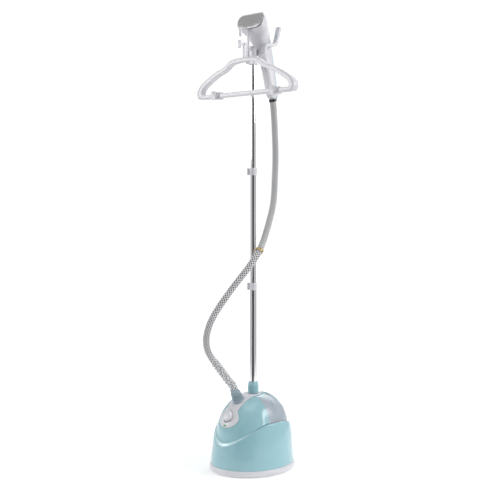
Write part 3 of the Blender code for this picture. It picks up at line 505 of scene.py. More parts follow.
def tank_zone(name, margin, top=0.3, bottom=0.05):
    low = TANK_FRONT_Y + margin
    zone = solid_block(name, (0.4, 0.3, top - bottom), move(0, low + 0.15, (top + bottom) / 2))
    return cut(zone, solid_disc(name + "_core", TANK_MAST_R + margin, bottom - 0.01, top + 0.01,
                                Matrix.Translation(MAST), 96))


# -------- base

def make_base():
    profile = [(0.1355, 0.0075), (0.1355, 0.0222), (0.1395, 0.0222), (0.1412, 0.0214), (0.1424, 0.0196),
               (0.1432, 0.0176), (0.144, 0.016), (0.1446, 0.013), (0.1446, 0.0095), (0.144, 0.0068),
               (0.1425, 0.005), (0.14, 0.004), (0.137, 0.0035)]
    verts, faces = lathe(profile + [(0.0005, 0.0035), (0.0005, 0.0075)], 160)
    verts = [(x * BASE_X, y * BASE_Y, z) for x, y, z in verts]
    piece("base_rim", verts, faces, "white_plastic", "base", ["base_plate"])

    columns, verts = DOME_COLUMNS, []
    rows = [("wall", r / 21) for r in range(22)] + [("roll", r / 6) for r in range(1, 7)]
    rows += [("inside", r / 5) for r in range(6)]
    for kind, v in rows:
        for c in range(columns):
            angle = pi * (2 * c / columns - 1)
            edge = wave(angle)
            roll = 0.0018 + 0.0042 * rear(angle)
            if kind == "wall":
                height = SHELL_Z + (edge - roll - SHELL_Z) * v
                radius = shell_radius(height)
            elif kind == "roll":
                radius = shell_radius(edge - roll) - roll * (1 - cos(pi / 2 * v))
                height = edge - roll * (1 - sin(pi / 2 * v))
            else:
                height = edge - 0.0026 - (edge - 0.0026 - SHELL_Z) * v
                radius = min(shell_radius(height) - WALL,
                             shell_radius(edge - roll) - max(roll, WALL) + 0.02 * v)
            verts.append(on_ellipse(angle, radius, height))
    shell = piece("lower_casing", verts, grid_faces(len(rows), columns, True, True), "aqua_plastic")
    cut(shell, solid_disc("gland_hole", 0.0093, -0.02, 0.02, aim(GLAND, pi / 2), 40))
    enlist(shell, "base", ["lower_shell"])

    # The pale band over the lip's step at the front stands in for the accent_band node. Its pale aqua is also
    # a painted highlight: the light crescent that the raised lip catches.
    verts, columns = [], 96
    for depth in (0.0, -0.0014):
        for r in ((0, 1, 2, 3, 4) if depth == 0.0 else (4, 3, 2, 1, 0)):
            for c in range(columns + 1):
                angle = LIP_END * 0.93 * (2 * c / columns - 1)
                start = shell_radius(wave(angle)) - 0.0012
                end = shell_radius(upper_edge(angle)) - inset(angle) + 0.0012
                low, high = wave(angle) + 0.0004, upper_edge(angle) - 0.0002
                share = r / 4
                bow = 0.0012 * sin(pi * share) * lip(angle)
                radius = start + share * (min(end, start) - start) + bow + depth
                verts.append(on_ellipse(angle, radius, low + (high - low) * share + depth * 0.4))
    faces = grid_faces(10, columns + 1, True, False)
    faces += [tuple(r * (columns + 1) + end for r in range(10)) for end in (0, columns)]
    piece("band_with_painted_highlight", verts, faces, "pale_aqua_plastic", "base", ["accent_band"])


def keyhole():
    half = [
        (0.041, 0.048), (0.043, 0.059), (0.0385, 0.07), (0.03, 0.08), (0.0275, 0.09),
        (0.0278, 0.105), (0.0285, 0.125), (0.03, 0.155), (0.031, 0.175), (0.024, 0.192), (0.0, 0.199),
    ]
    right = [(0.0, 0.021), (0.019, 0.026), (0.033, 0.036)] + half
    return smooth_line(right + [(-x, y) for x, y in right[1:-1]][::-1], 5, closed=True)


KNOB = Vector((0.0, -0.1035, 0.19))
KNOB_TURN = pi / 2 - radians(20)
NUT = Vector((0.0, -0.063, 0.24))
NUT_LEAN = radians(27.5)
NUT_AXIS = Vector((0.0, -sin(NUT_LEAN), cos(NUT_LEAN)))
LENS = Vector((0.0, -0.1215, 0.16))
LENS_TILT = radians(62)
GLAND = (0, 0.143, 0.05)


def dome_holes(tag):
    return [
        solid_disc(tag + "_mast", 0.0172, 0.1, 0.3, Matrix.Translation(MAST), 64),
        solid_disc(tag + "_nut", 0.0202, -0.02, 0.03, aim(NUT, NUT_LEAN), 64),
        solid_disc(tag + "_knob", 0.0233, -0.02, 0.02, aim(KNOB, KNOB_TURN), 64),
        solid_block(tag + "_lens", (0.0112, 0.0062, 0.03), aim(LENS, LENS_TILT)),
    ]


def make_dome():
    upper = dome_shell("upper_casing", 0.0, WALL, "aqua_plastic")
    cut(upper, tank_zone("bay", 0.0), *dome_holes("upper"))
    enlist(upper, "base", ["upper_shell"])
    panel = dome_shell("panel", 0.0021, 0.0014, "white_plastic")
    key = prism("key", keyhole(), -0.05, 0.05, aim((0, -0.1344, 0.1344), radians(45)))
    cut(panel, key, operation="INTERSECT")
    cut(panel, *dome_holes("panel"))
    rounded(panel, 0.0006, 2, 50)
    enlist(panel, "base", ["control_panel"])


def make_knob():
    place = aim(KNOB, KNOB_TURN)
    profile = [(0.0003, 0.0128), (0.008, 0.013), (0.0125, 0.0134), (0.0142, 0.014), (0.015, 0.0139),
               (0.0152, 0.0134), (0.0169, 0.0134), (0.0172, 0.0138), (0.0176, 0.0135), (0.0181, 0.0122),
               (0.0187, 0.006), (0.0188, 0.005), (0.0194, 0.0044), (0.0197, 0.003), (0.0197, -0.0018),
               (0.004, -0.0018), (0.0003, -0.0018)]
    steps = 144
    verts, faces = lathe(profile, steps)
    ribbed = []
    for i, (x, y, z) in enumerate(verts):
        around = 2 * pi * (i % steps) / steps
        radius = hypot(x, y)
        depth = 0.0009 * max(0.0, cos(around * 36)) if 0.018 < radius and -0.001 < z < 0.0052 else 0.0
        share = 1 - depth / radius
        ribbed.append(place @ Vector((x * share, y * share, z)))
    piece("dial", ribbed, faces, "white_plastic", "knob", ["steam_knob"])
    ring = [(0.0154, 0.0136), (0.0154, 0.0142), (0.0157, 0.0146), (0.0164, 0.0146), (0.0167, 0.0142),
            (0.0167, 0.0136)]
    turned("dial_ring", ring, 96, place, "pale_aqua_plastic", "knob", ["knob_ring"])
    bezel = [(0.0228, 0.0016), (0.0224, 0.0024), (0.0206, 0.0024), (0.0202, 0.0018), (0.02, -0.003),
             (0.0045, -0.003), (0.0045, -0.008), (0.0228, -0.008)]
    turned("dial_seat", bezel, 96, place, "white_plastic", "base", ["knob_bezel"])
    verts, faces = [], []
    for k in range(19):
        turn = radians(-225 + 270 * k / 18)
        wide = 0.00035 + 0.0008 * k / 18
        for side in (-wide, wide):
            for radius, z in ((0.021, 0.00255), (0.0222, 0.0025)):
                verts.append(place @ Vector((radius * cos(turn) - side * sin(turn),
                                             radius * sin(turn) + side * cos(turn), z)))
        faces.append((4 * k, 4 * k + 1, 4 * k + 3, 4 * k + 2))
    piece("dial_marks", verts, faces, PRINT, "base")


# -------- tank

def tank_solid(name, shrink, floor, finish):
    columns, rows = DOME_COLUMNS, 30
    levels = [[dome_point(pi * (2 * c / columns - 1), r / rows, -GAP - shrink) for c in range(columns)]
              for r in range(rows + 1)]
    verts = [Vector((p.x, p.y, floor)) for p in levels[0]]
    for level in levels:
        verts += level
    faces = grid_faces(rows + 2, columns, False, True)
    faces += end_faces(rows + 2, columns)
    return piece(name, verts, faces, finish)


def make_tank():
    tank = tank_solid("tank", 0.0, 0.1265, "tank_plastic")
    cut(tank, tank_zone("tank_limit", 0.0005), operation="INTERSECT")
    inside = tank_solid("tank_inside", 0.0022, 0.1287, DARK)
    cut(inside, tank_zone("inside_limit", 0.0027), operation="INTERSECT")
    cut(tank, inside, solid_disc("filler", 0.013, 0.19, 0.24, move(0, 0.08, 0)),
        solid_disc("outlet", 0.013, 0.11, 0.14, move(0, 0.075, 0)))
    enlist(tank, "tank", ["water_tank"])
    loop = ((104, 0.1), (103, 0.35), (106, 0.55), (116, 0.68), (130, 0.7), (142, 0.58), (146, 0.35),
            (143, 0.12), (130, 0.05), (115, 0.05))
    for side in (-1, 1):
        line = smooth_line([dome_point(side * radians(a), share, 0.0) for a, share in loop], 8, closed=True)
        verts, faces = sweep(line + line[:1], round_section(0.0007, 6))
        piece(f"tank_bead_{side}", verts, faces, "pale_aqua_plastic", "tank")
    lid = dome_shell("tank_cover", 0.0028, 0.002, "pale_aqua_plastic")
    zone = solid_block("lid_zone", (0.048, 0.05, 0.2), move(0, 0.081, 0.2))
    cut(lid, zone, operation="INTERSECT")
    rounded(lid, 0.0005, 2, 50)
    enlist(lid, "lid", ["tank_lid"])


# -------- ribbed collars

def ribbed_ring(name, profile, ribs, depth, low, high, place, finish, body, nodes, steps=None):
    """A turned piece whose outer wall carries straight grip ribs between two heights."""
    steps = steps or ribs * 6
    verts, faces = lathe(profile, steps)
    wall = min(r for r, _ in profile) + 0.001
    shaped = []
    for i, (x, y, z) in enumerate(verts):
        radius = hypot(x, y)
        share = 1.0
        if radius > wall and low <= z <= high:
            share -= depth / radius * (0.5 + 0.5 * cos(2 * pi * ribs * (i % steps) / steps)) ** 2
        shaped.append(place @ Vector((x * share, y * share, z)))
    return piece(name, shaped, faces, finish, body, nodes, sharp=50)


def make_collars():
    nut = [(0.0118, -0.006), (0.019, -0.006), (0.0195, -0.0054), (0.0196, 0.0002), (0.0194, 0.0012),
           (0.0193, 0.002), (0.0191, 0.004), (0.0177, 0.016), (0.0167, 0.024), (0.0166, 0.0252),
           (0.0165, 0.0262), (0.0162, 0.03), (0.0156, 0.031), (0.0118, 0.031)]
    ribbed_ring("union_nut", nut, 26, 0.0027, 0.0018, 0.0254, aim(NUT, NUT_LEAN), "slate_plastic",
                "nut", ["hose_nut"])
    sleeve = [(0.0117, 0.0313), (0.0132, 0.0313), (0.0134, 0.0325), (0.0134, 0.0345), (0.0126, 0.0351),
              (0.0126, 0.0375), (0.0134, 0.0381), (0.0134, 0.0425), (0.0128, 0.0438), (0.0117, 0.0438)]
    turned("hose_sleeve", sleeve, 72, aim(NUT, NUT_LEAN), "slate_plastic", "base", ["hose_ferrule"])
    collar = [(0.0111, 0.2535), (0.018, 0.2535), (0.0185, 0.2542), (0.0185, 0.2562), (0.0183, 0.2572),
              (0.0182, 0.259), (0.0179, 0.277), (0.0178, 0.2792), (0.0179, 0.2806), (0.0176, 0.2822),
              (0.0167, 0.2842), (0.0161, 0.2866), (0.0159, 0.2895), (0.0154, 0.291), (0.0146, 0.2915),
              (0.0111, 0.2915)]
    ribbed_ring("mast_nut", collar, 36, 0.0008, 0.2585, 0.2795, Matrix.Translation(MAST),
                "aqua_plastic", "collar", ["mast_collar"])


# -------- mast

def make_mast():
    for name, radius, low, high, body in (
        ("lower_tube", 0.0108, 0.16, 0.61, "base"), ("middle_tube", 0.0095, 0.53, 0.994, "pole_mid"),
        ("upper_tube", 0.0082, 0.915, 1.356, "pole_top"),
    ):
        profile = [(radius - 0.0009, low), (radius, low), (radius, high - 0.0004), (radius - 0.0004, high),
                   (radius - 0.0009, high)]
        turned("chrome_" + name, profile, 64, Matrix.Translation(MAST), "chrome", body, [name])


# -------- hose

HOSE_ROUTE = [
    (0.0, 0.0758, 1.301), (0.0, 0.0875, 1.242), (0.0, 0.094, 1.193), (0.0, 0.0985, 1.13),
    (0.0, 0.1015, 1.05), (0.0, 0.0985, 0.975), (0.004, 0.088, 0.892), (0.014, 0.056, 0.821),
    (0.026, 0.024, 0.771), (0.035, -0.008, 0.731), (0.036, -0.036, 0.701), (0.034, -0.062, 0.673),
    (0.024, -0.104, 0.626), (0.012, -0.139, 0.58), (0.004, -0.17, 0.538), (0.001, -0.192, 0.5),
    (0.0, -0.204, 0.46), (0.0, -0.199, 0.422), (0.0, -0.178, 0.388), (0.0, -0.143, 0.347),
    (0.0, -0.11, 0.307), (0.0, -0.088, 0.27),
]
SPLIT_Z = 0.735
HOSE_R = 0.0112


def hose_lines():
    """The upper and the lower length of the hose, each from its upper end down."""
    line = even_line(smooth_line(HOSE_ROUTE, 8), 0.004)
    meeting = min(range(len(line)), key=lambda i: abs(line[i].z - SPLIT_Z))
    start = NUT - MAST + NUT_AXIS * 0.017
    free = [p for p in line[meeting + 1:] if p.z > 0.3]
    lower = smooth_line(free[::6] + [start + NUT_AXIS * 0.045, start + NUT_AXIS * 0.02, start], 8)
    return [p + MAST for p in line[:meeting + 1]], [p + MAST for p in [line[meeting]] + lower]


def braid(line, radius, strands=6, pitch=0.06, width=0.0027, step=0.0018):
    """A dark core under two sets of crossing ribbons that pass over and under each other."""
    line = even_line(line, 0.002)
    flat, _, normals, sides = line_frames(line)
    length = 0.002 * (len(line) - 1)
    along = np.linspace(0.0, length, len(line))

    def point(s, turn, r):
        s = np.clip(s, 0.0, length)
        center, normal, side = (np.stack([np.interp(s, along, a[:, k]) for k in range(3)], 1)
                                for a in (flat, normals, sides))
        return center + r[:, None] * (np.cos(turn)[:, None] * normal + np.sin(turn)[:, None] * side)

    core, faces = sweep(even_line(line, 0.006), round_section(radius - 0.0009, 20))
    verts = [tuple(v) for v in core]
    core_count = len(faces)
    s = np.arange(0.0, length, step)
    half = width / 2 * sqrt(0.5)
    for sign in (1, -1):
        for k in range(strands):
            turn = 2 * pi * (k / strands + sign * s / pitch)
            ride_over = sign * 0.0003 * np.cos(2 * pi * strands * s / pitch)
            start = len(verts)
            for j, crown in ((-1, -0.00022), (0, 0.00008), (1, -0.00022)):
                row = point(s + j * half, turn - sign * j * half / radius,
                            radius - 0.0002 + ride_over + crown)
                verts += [tuple(v) for v in row]
            faces += grid_faces(3, len(s), start=start)
    return verts, faces, core_count


def make_hose():
    upper, lower = hose_lines()
    for name, line, body, node, joint, anchor, keep in (
        ("hose_top_length", upper, "pole_mid", "hose_upper", "pole_top_slide", SPLIT_Z, 0.3491),
        ("hose_low_length", lower, "base", "hose_lower", "pole_mid_slide", 0.2551, 0.3124),
    ):
        verts, faces, core_count = braid(line, HOSE_R)
        made = piece(name, verts, faces, "braided_hose", body, [node], sharp=60)
        made.data.materials.append(DARK)
        for i in range(core_count):
            made.data.polygons[i].material_index = 1
        path, pieces = [tuple(p) for p in even_line(line, 0.01)], []
        if node == "hose_lower":
            path = path[::-1]
            first = round(0.027 / 0.002)
            pieces = [make_spring(even_line(lower, 0.002)[::-1][first:first + 66])]
            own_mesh(pieces[0])
        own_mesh(made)


def make_spring(line):
    """The clear guard coil over the hose's lower end."""
    flat, _, normals, sides = line_frames(line)
    turns, count = 9.5, 380
    position = np.linspace(0, len(line) - 1, count)
    index = np.arange(len(line))
    helix = []
    for i, at in enumerate(position):
        center, normal, side = (np.array([np.interp(at, index, a[:, k]) for k in range(3)])
                                for a in (flat, normals, sides))
        turn = 2 * pi * turns * i / (count - 1)
        helix.append(Vector(center + 0.0131 * (cos(turn) * normal + sin(turn) * side)))
    verts, faces = sweep(helix, round_section(0.0015, 8))
    coil = piece("guard_coil", verts, faces, CLEAR, "base")
    return coil


# -------- upper works

HANDLE_LEAN = radians(11.3)
HANDLE_END = Vector((0.0, 0.0915, 1.242))
PLATE_LEAN = radians(15)
PLATE_AT = Vector((0.0, -0.007, 1.4905))
FACE = pi / 2 - PLATE_LEAN
OUT = Vector((0.0, -cos(PLATE_LEAN), sin(PLATE_LEAN)))
HANGER_AT = -0.032
BAR_Z = 1.254
COVER_DEPTH, COVER_TOP = 0.011, 1.478
PLATE_SCREW_X = 0.0455
HEAD_SECTIONS = [  # height, front y, back y, half width at the front, half width at the back
    (1.245, 0.07, 0.103, 0.0125, 0.0125), (1.252, 0.0665, 0.1045, 0.0155, 0.0155),
    (1.28, 0.06, 0.1015, 0.0172, 0.0165), (1.33, 0.0475, 0.0935, 0.0178, 0.0168),
    (1.38, 0.03, 0.0835, 0.0185, 0.0165), (1.41, 0.014, 0.079, 0.024, 0.0165),
    (1.43, 0.001, 0.075, 0.033, 0.0165), (1.448, -0.006, 0.0715, 0.048, 0.0165),
    (1.458, -0.015, 0.0695, 0.058, 0.022), (1.465, -0.034, 0.068, 0.066, 0.028),
    (1.49, -0.036, 0.062, 0.067, 0.034),
    (1.506, -0.03, 0.056, 0.065, 0.034), (1.516, -0.018, 0.045, 0.056, 0.03),
]


def boxed(name, size, place, edge, finish, segments=3):
    made = solid_block(name, size, place)
    made.data.materials[0] = LOOKS[finish]
    return rounded(made, edge, segments)


def together(name, made, body, nodes=()):
    """Joins pieces into one that rides on a body."""
    work = bmesh.new()
    finish = made[0].data.materials[0]
    for part in made:
        work.from_mesh(part.data)
    mesh = bpy.data.meshes.new(name)
    work.to_mesh(mesh)
    work.free()
    for part in made:
        bpy.data.objects.remove(part)
    whole = linked(name, mesh)
    mesh.materials.append(finish)
    shade(whole)
    return enlist(whole, body, nodes)


def rounded_end(t, share=0.06):
    gap = max(0.0, 1 - min(t, 1 - t) / share)
    return sqrt(max(0.0, 1 - 0.75 * gap * gap))


def swept(name, points, section, finish, first=(1.0, 0.0, 0.0), spans=8, share=0.06):
    verts, faces = sweep(smooth_line(points, spans), section, first, lambda t: rounded_end(t, share))
    return piece(name, verts, faces, finish)


def window(name, outer, inner, low, high, place, finish):
    """A flat frame between two outlines of equal count."""
    count = len(outer)
    rings = [(inner, low), (outer, low), (outer, high), (inner, high)]
    verts = [place @ Vector((p[0], p[1], z)) for line, z in rings for p in line]
    return piece(name, verts, grid_faces(4, count, True, True), finish)


def screw(name, place, radius, body):
    """A domed screw head with a cross slot."""
    profile = [(radius, -0.0006), (radius, 0.0004), (radius * 0.75, 0.0009), (radius * 0.3, 0.0011)]
    head = turned(name, profile, 28, place, "steel", closed=False)
    slots = [solid_block(f"{name}_{k}", (radius * 1.3, radius * 0.28, 0.0012),
                         place @ move(0, 0, 0.0011) @ Matrix.Rotation(k * pi / 2, 4, "Z"))
             for k in (0, 1)]
    cut(head, *slots)
    enlist(head, body)


def make_tops():
    """The top of the mast: socket, fork, hanger with its rest, and the garment hook."""
    white = "white_plastic"
    at = Matrix.Translation(MAST)
    profile = [(0.0003, 1.402), (0.01, 1.402), (0.0115, 1.4018), (0.0123, 1.401), (0.0125, 1.3995),
               (0.0125, 1.3705), (0.0128, 1.3697), (0.014, 1.369), (0.0142, 1.368), (0.0142, 1.358),
               (0.0138, 1.3575), (0.0138, 1.3562), (0.0142, 1.3557), (0.0142, 1.351), (0.0138, 1.35),
               (0.0085, 1.35), (0.0085, 1.3563), (0.0003, 1.3563)]
    socket = turned("socket", profile, 72, at, white)
    boss = boxed("boss", (0.02, 0.015, 0.015), move(0, -0.0137, 1.3585), 0.0012, white)
    lug = boxed("lug", (0.016, 0.015, 0.02), move(0, -0.0137, 1.384), 0.0012, white)
    together("mast_top", [socket, boss, lug], "pole_top", ["mast_head"])

    path = [(0.0155, 1.38), (0.0165, 1.392), (0.018, 1.403), (0.026, 1.4125), (0.042, 1.4145),
            (0.056, 1.4155), (0.067, 1.423), (0.0735, 1.44), (0.0785, 1.46), (0.083, 1.477)]
    prongs = []
    for x in (-0.0345, 0.0345):
        line = [(x, y + MAST.y, z) for y, z in path]
        section = pill_section(0.019, 0.01, 0.0022, 4)
        prongs.append(swept("prong", line, section, white, spans=10, share=0.015))
        for height in (1.438, 1.446, 1.454):
            y = float(np.interp(height, [p[1] for p in path[6:]], [p[0] for p in path[6:]])) + MAST.y
            prongs.append(boxed("rib", (0.012, 0.0016, 0.0016), move(x, y - 0.0049, height),
                                0.0005, white, 1))
    bridge = boxed("bridge", (0.084, 0.0052, 0.02), move(0, 0.0195, 1.39), 0.0014, white)
    together("cradle", [bridge, *prongs], "pole_top", ["fork"])

    outer = [(0.0, 1.37), (0.04, 1.369), (0.068, 1.3635), (0.086, 1.352), (0.105, 1.3435),
             (0.14, 1.3335), (0.183, 1.3145), (0.215, 1.2975), (0.233, 1.28), (0.2385, 1.265),
             (0.2335, 1.252), (0.219, 1.247), (0.11, 1.247), (0.0, 1.247)]
    inner = [(0.0, 1.3565), (0.04, 1.3555), (0.066, 1.35), (0.084, 1.3385), (0.103, 1.3295),
             (0.138, 1.3185), (0.178, 1.299), (0.203, 1.285), (0.213, 1.275), (0.2165, 1.2675),
             (0.211, 1.261), (0.2, 1.261), (0.106, 1.261),
             (0.0, 1.261)]

    def whole(half):
        line = [Vector(p) for p in half] + [Vector((-x, z)) for x, z in half[1:-1]][::-1]
        return smooth_line(line, 5, closed=True)

    front = move(0, HANGER_AT, 0) @ Matrix.Rotation(pi / 2, 4, "X")
    frame_piece = window("frame", whole(outer), whole(inner), -0.0105, 0.0105, front, white)
    rounded(frame_piece, 0.0016, 2, 50)
    post = boxed("post", (0.008, 0.0145, 0.06), move(0, HANGER_AT - 0.001, 1.389), 0.0015, white)
    arm = boxed("arm", (0.008, 0.022, 0.008), move(0, -0.046, 1.4145), 0.0012, white)
    rest = boxed("rest", (0.013, 0.004, 0.026), move(0, -0.057, 1.4125), 0.0014, white)
    together("trouser_hanger", [frame_piece, post, arm, rest], "pole_top", ["hanger"])

    stem = -0.0215
    line = [(stem, 1.398), (stem, 1.411), (stem, 1.425)] + arc2((stem - 0.018, 1.4475), 0.018, 0, 180, 9)
    line = [(0.0, y + MAST.y, z) for y, z in line + [(stem - 0.036, 1.437)]]
    hook = swept("coat_hook", line, pill_section(0.009, 0.007, 0.0022, 4), white, spans=6, share=0.03)
    enlist(hook, "swivel_hook", ["garment_hook"])


def make_clips():
    bright = "bright_plastic"
    for side, x in (("left", -0.138), ("right", 0.15)):
        def at(dx, y, dz):
            return move(x + dx, y, BAR_Z + dz)

        saddle = boxed("saddle", (0.027, 0.029, 0.025), at(0, HANGER_AT, 0), 0.002, bright)
        cut(saddle, solid_block("channel", (0.05, 0.0216, 0.0146), at(0, HANGER_AT, 0)))
        ribs = [boxed("rib", (0.02, 0.0012, 0.0012), at(0, HANGER_AT - 0.0144, dz), 0.0004, bright, 1)
                for dz in (-0.0105, 0.01)]
        tab = boxed("tab", (0.007, 0.012, 0.005), at(0.0155, HANGER_AT, 0.0092), 0.0012, bright)
        ears = [boxed("ear", (0.0018, 0.0062, 0.006), at(dx, HANGER_AT - 0.0168, 0), 0.0006, bright, 2)
                for dx in (-0.0112, 0.0112)]
        together(f"{side}_saddle", [saddle, tab, *ribs, *ears], f"{side}_clip", [f"{side}_clip_saddle"])
        turn = at(0, -0.05, 0) @ Matrix.Rotation(pi / 2, 4, "Y")
        turned(f"{side}_axle", [(0.0003, 0.011), (0.0012, 0.011), (0.0014, 0.0107), (0.0014, -0.0107),
                                (0.0012, -0.011), (0.0003, -0.011)], 24, turn, "steel", f"{side}_clip",
               [f"{side}_clip_pin"])
        line = [(x, -0.05 + y, BAR_Z + z) for y, z in
                ((0.0, -0.015), (-0.0006, -0.007), (0.0, 0.0), (-0.002, 0.0075), (-0.0048, 0.0155))]
        jaw = swept("jaw", line, pill_section(0.02, 0.0054, 0.0014, 3), bright, spans=6, share=0.08)
        cut(jaw, solid_disc("bore", 0.0017, -0.03, 0.03, turn, 24))
        grips = [boxed("grip", (0.016, 0.0012, 0.001), at(0, -0.05 - 0.003 - 0.3 * dz, dz), 0.0003, bright, 1)
                 for dz in (0.0075, 0.01, 0.0125)]
        together(f"{side}_grip", [jaw, *grips], f"{side}_jaw", [f"{side}_clip_jaw"])


def make_clamps():
    white = "white_plastic"
    for number, height, below, above, body in ((1, 0.614, 0.0108, 0.0095, "base"),
                                                (2, 0.998, 0.0095, 0.0082, "pole_mid")):
        at = Matrix.Translation(MAST + Vector((0, 0, height)))
        profile = [(0.0114, 0.012), (0.0121, 0.0117), (0.0125, 0.011), (0.0125, 0.004), (0.012, 0.0034),
                   (0.012, 0.0024), (0.0125, 0.0018), (0.0125, -0.011), (0.0121, -0.012),
                   (below + GAP, -0.012), (below + GAP, -0.0037), (above + GAP, -0.0037),
                   (above + GAP, 0.012)]
        made = [turned("sleeve", profile, 64, at, white)]
        out = Vector((-0.0165, -0.008, 0.0))
        lean = atan2(out.y, out.x)
        for dz in (-0.0102, 0.0102):
            spot = out * (0.0158 / out.length)
            ear = boxed("ear", (0.011, 0.0076, 0.003), at @ move(spot.x, spot.y, dz)
                        @ Matrix.Rotation(lean, 4, "Z"), 0.001, white)
            tip = turned("tip", [(0.0018, 0.0015), (0.0034, 0.0015), (0.0038, 0.001), (0.0038, -0.001),
                                 (0.0034, -0.0015), (0.0018, -0.0015)], 32,
                         at @ move(out.x, out.y, dz), white)
            made += [ear, tip]
        together(f"clamp_{number}", made, body, [f"clamp_{number}_collar"])
        hinge = at @ Matrix.Translation(out)
        turned(f"clamp_{number}_axle", [(0.0003, 0.0119), (0.0011, 0.0119), (0.0015, 0.0115),
                                        (0.0015, -0.0115), (0.0011, -0.0119), (0.0003, -0.0119)], 24, hinge,
               "steel", body, [f"clamp_{number}_pin"])
        line = [hinge @ Vector((x, y, 0)) for x, y in
                ((0.0003, -0.0028), (-0.0012, 0.002), (-0.003, 0.006), (-0.0042, 0.012), (-0.003, 0.018),
                 (-0.0003, 0.0235))]
        section = pill_section(0.0166, 0.0074, 0.0022, 4)
        lever = swept(f"lever_{number}_arm", line, section, white, (0, 0, 1), 8, 0.1)
        cut(lever, solid_disc("bore", 0.0018, -0.02, 0.02, hinge, 24))
        enlist(lever, f"lever_{number}", [f"clamp_{number}_lever"])


def head_ring(section, count, grow=0.0):
    height, front, back, front_half, back_half = section
    middle, depth = (front + back) / 2, (back - front) / 2 + grow
    points = []
    for i in range(count):
        s, c = sin(2 * pi * i / count), cos(2 * pi * i / count)
        y = copysign(abs(c) ** 0.72, c)
        x = copysign(abs(s) ** 0.72, s)
        half = back_half + (front_half - back_half) * ease((1 - y) / 2) + grow
        points.append((half * x, middle + depth * y + MAST.y, height))
    return points


def head_solid(name, finish):
    count, sections = 72, []
    for low, high in zip(HEAD_SECTIONS, HEAD_SECTIONS[1:]):
        steps = max(2, round((high[0] - low[0]) / 0.006))
        for k in range(steps):
            sections.append([a + (b - a) * k / steps for a, b in zip(low, high)])
    sections.append(list(HEAD_SECTIONS[-1]))
    flat = np.array(sections)
    for _ in range(3):
        inner = flat.copy()
        inner[1:-1, 1:] = flat[1:-1, 1:] * 0.5 + (flat[:-2, 1:] + flat[2:, 1:]) * 0.25
        flat = inner
    verts = [p for section in flat for p in head_ring(tuple(section), count)]
    faces = grid_faces(len(flat), count, False, True)
    faces += end_faces(len(flat), count)
    return piece(name, verts, faces, finish)


def cover_zone(name, margin):
    rings = [(h, back - COVER_DEPTH - margin) for h, _, back, _, _ in HEAD_SECTIONS if h < COVER_TOP]
    rings = [(1.2, rings[0][1]), *rings, (COVER_TOP + margin, rings[-1][1] - 0.002)]
    verts = []
    for z, y in rings:
        verts += [(-0.05, y + MAST.y, z), (0.05, y + MAST.y, z), (0.05, 0.14, z), (-0.05, 0.14, z)]
    faces = grid_faces(len(rings), 4, False, True) + [(3, 2, 1, 0), tuple(range(len(verts) - 4, len(verts)))]
    return piece(name, verts, faces, DARK)


def plate_outline(grow=0.0):
    half = [(0.0, 0.0215), (0.035, 0.0215), (0.052, 0.019), (0.0605, 0.009), (0.061, -0.003),
            (0.056, -0.015), (0.044, -0.022), (0.022, -0.0245), (0.0, -0.025)]
    line = smooth_line([Vector(p) for p in half + [(-x, y) for x, y in half[1:-1]][::-1]], 8, closed=True)
    return [p * (1 + grow / 0.04) for p in line]


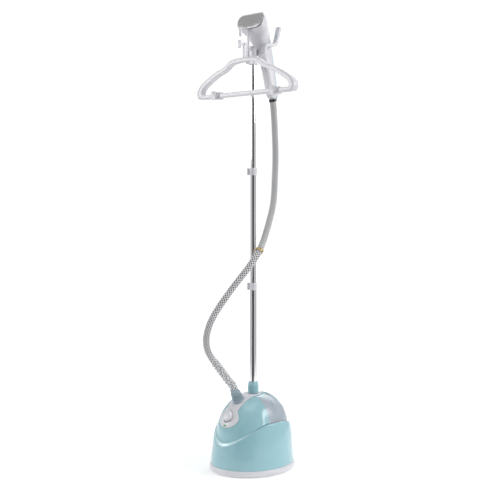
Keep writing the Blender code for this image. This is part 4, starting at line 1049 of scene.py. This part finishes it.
def make_head():
    """The hand piece: white shell, coloured back, steam plate, trigger and the ring where the hose enters."""
    white = "white_plastic"
    tilt = aim(HANDLE_END, HANDLE_LEAN)
    face = aim(PLATE_AT, FACE)

    def bore(name):
        return solid_disc(name, 0.012, -0.03, 0.066, tilt)

    shell = head_solid("hand_piece", white)
    well = solid_block("well", (0.0128, 0.024, 0.033), tilt @ move(0, -0.02, 0.11))
    cut(shell, solid_block("trim", (0.3, 0.2, 0.1), aim(PLATE_AT + OUT * 0.0512, FACE)))
    cut(shell, prism("chamber", plate_outline(-0.008), -0.012, 0.012, aim(PLATE_AT - OUT * 0.003, FACE)))
    cut(shell, bore("bore"))
    cut(shell, well)
    cut(shell, cover_zone("seat", GAP))
    rounded(shell, 0.0007, 2, 50)
    enlist(shell, "steam_head", ["head_shell"])

    back = head_solid("hand_piece_back", "aqua_plastic")
    cut(back, cover_zone("zone", 0.0), operation="INTERSECT")
    cut(back, bore("back_bore"))
    rounded(back, 0.0006, 2, 50)
    enlist(back, "steam_head", ["handle_cover"])

    metal = prism("steam_face", plate_outline(), -0.001, 0.001, aim(PLATE_AT + OUT * 0.004, FACE), "steel")
    rounded(metal, 0.0004, 2, 60)
    verts, faces = [], []
    for row in range(-2, 3):
        for i in range(-6, 7):
            x, y = 0.0084 * (i + 0.5 * (row % 2)), 0.0076 * row - 0.001
            if (x / 0.054) ** 2 + (y / 0.019) ** 2 > 1 or abs(abs(x) - PLATE_SCREW_X) < 0.004 and row == 0:
                continue
            hole, sides = lathe([(0.0013, 0.004), (0.0013, -0.004)], 8, face @ move(x, y, 0.004),
                                closed=False)
            faces += [tuple(k + len(verts) for k in side) for side in sides]
            verts += hole
    cut(metal, piece("holes", verts, faces, DARK, None))
    enlist(metal, "steam_head", ["steam_plate"])
    seal = window("face_gasket", plate_outline(0.0004), plate_outline(-0.005), 0.0015, 0.0027, face,
                  "black_plastic")
    enlist(seal, "steam_head", ["plate_gasket"])
    for k, x in enumerate((-PLATE_SCREW_X, PLATE_SCREW_X)):
        screw(f"face_screw_{k}", face @ move(x, -0.001, 0.0052), 0.003, "steam_head")
    for k, (y, z) in enumerate(((0.05, 1.448), (0.07, 1.35))):
        for sign in (-1, 1):
            section = [float(np.interp(z, [s[0] for s in HEAD_SECTIONS], [s[c] for s in HEAD_SECTIONS]))
                       for c in range(5)]
            section[0] = z
            ring = head_ring(tuple(section), 360)
            x = min((p for p in ring if p[0] > 0), key=lambda p: abs(p[1] - y))[0]
            place = move(sign * (x + 0.0002), y, z) @ Matrix.Rotation(sign * pi / 2, 4, "Y")
            screw(f"side_screw_{k}_{sign}", place, 0.0026, "steam_head")

    button = boxed("button", (0.012, 0.01, 0.032), tilt @ move(0, -0.0215, 0.11), 0.0018, white)
    ribs = [boxed("rib", (0.0086, 0.001, 0.001), tilt @ move(0, -0.0266, 0.11 + dz), 0.0003,
                  white, 1) for dz in (-0.008, -0.004, 0.0, 0.004, 0.008)]
    together("trigger_button", [button, *ribs], "trigger", ["steam_trigger"])
    ring = [(0.0117, -0.0003), (0.013, -0.0003), (0.0133, -0.001), (0.0133, -0.004), (0.0129, -0.0045),
            (0.0129, -0.0052), (0.0133, -0.0057), (0.0133, -0.0072), (0.0129, -0.008), (0.0117, -0.008)]
    turned("handle_end", ring, 64, tilt, "black_plastic", "steam_head", ["handle_end_ring"])


def make_trims():
    """Hose band, feet, cord gland and indicator."""
    upper, _ = hose_lines()
    along = (upper[-1] - upper[-4]).normalized()
    spot = Matrix.Translation(upper[-1]) @ along.to_track_quat("Z", "Y").to_matrix().to_4x4()
    band = [(0.0116, 0.0055), (0.0128, 0.0055), (0.0133, 0.005), (0.0133, 0.003), (0.013, 0.0026),
            (0.013, -0.0026), (0.0133, -0.003), (0.0133, -0.005), (0.0128, -0.0055), (0.0116, -0.0055)]
    turned("brass_band", band, 64, spot, "brass", "pole_mid", ["hose_band"])
    for side, x in (("left", -0.074), ("right", 0.074)):
        for end, y in (("front", -0.088), ("rear", 0.088)):
            profile = [(0.0003, 0.0006), (0.006, 0.0006), (0.0064, 0.0), (0.01, 0.0), (0.0108, 0.0005),
                       (0.011, 0.0014), (0.011, 0.0032), (0.0003, 0.0032)]
            turned(f"pad_{end}_{side}", profile, 40, move(x, y, 0), "rubber", "base", [f"foot_{end}_{side}"])
    profile = [(0.0045, 0.0085), (0.01, 0.0085), (0.0118, 0.008), (0.012, 0.007), (0.012, 0.0052),
               (0.009, 0.0052), (0.009, -0.006), (0.0045, -0.006)]
    turned("cord_bush", profile, 56, aim(GLAND, -pi / 2), "grey_plastic", "base", ["cord_gland"])
    lens = boxed("lamp", (0.01, 0.005, 0.007), aim(LENS, LENS_TILT), 0.0012, "green_lens")
    enlist(lens, "base", ["indicator_lens"])


make_stage()
dress_frame()
make_base()
make_dome()
make_knob()
make_tank()
make_collars()
make_mast()
make_hose()
make_tops()
make_clips()
make_clamps()
make_head()
make_trims()

bpy.context.view_layer.update()
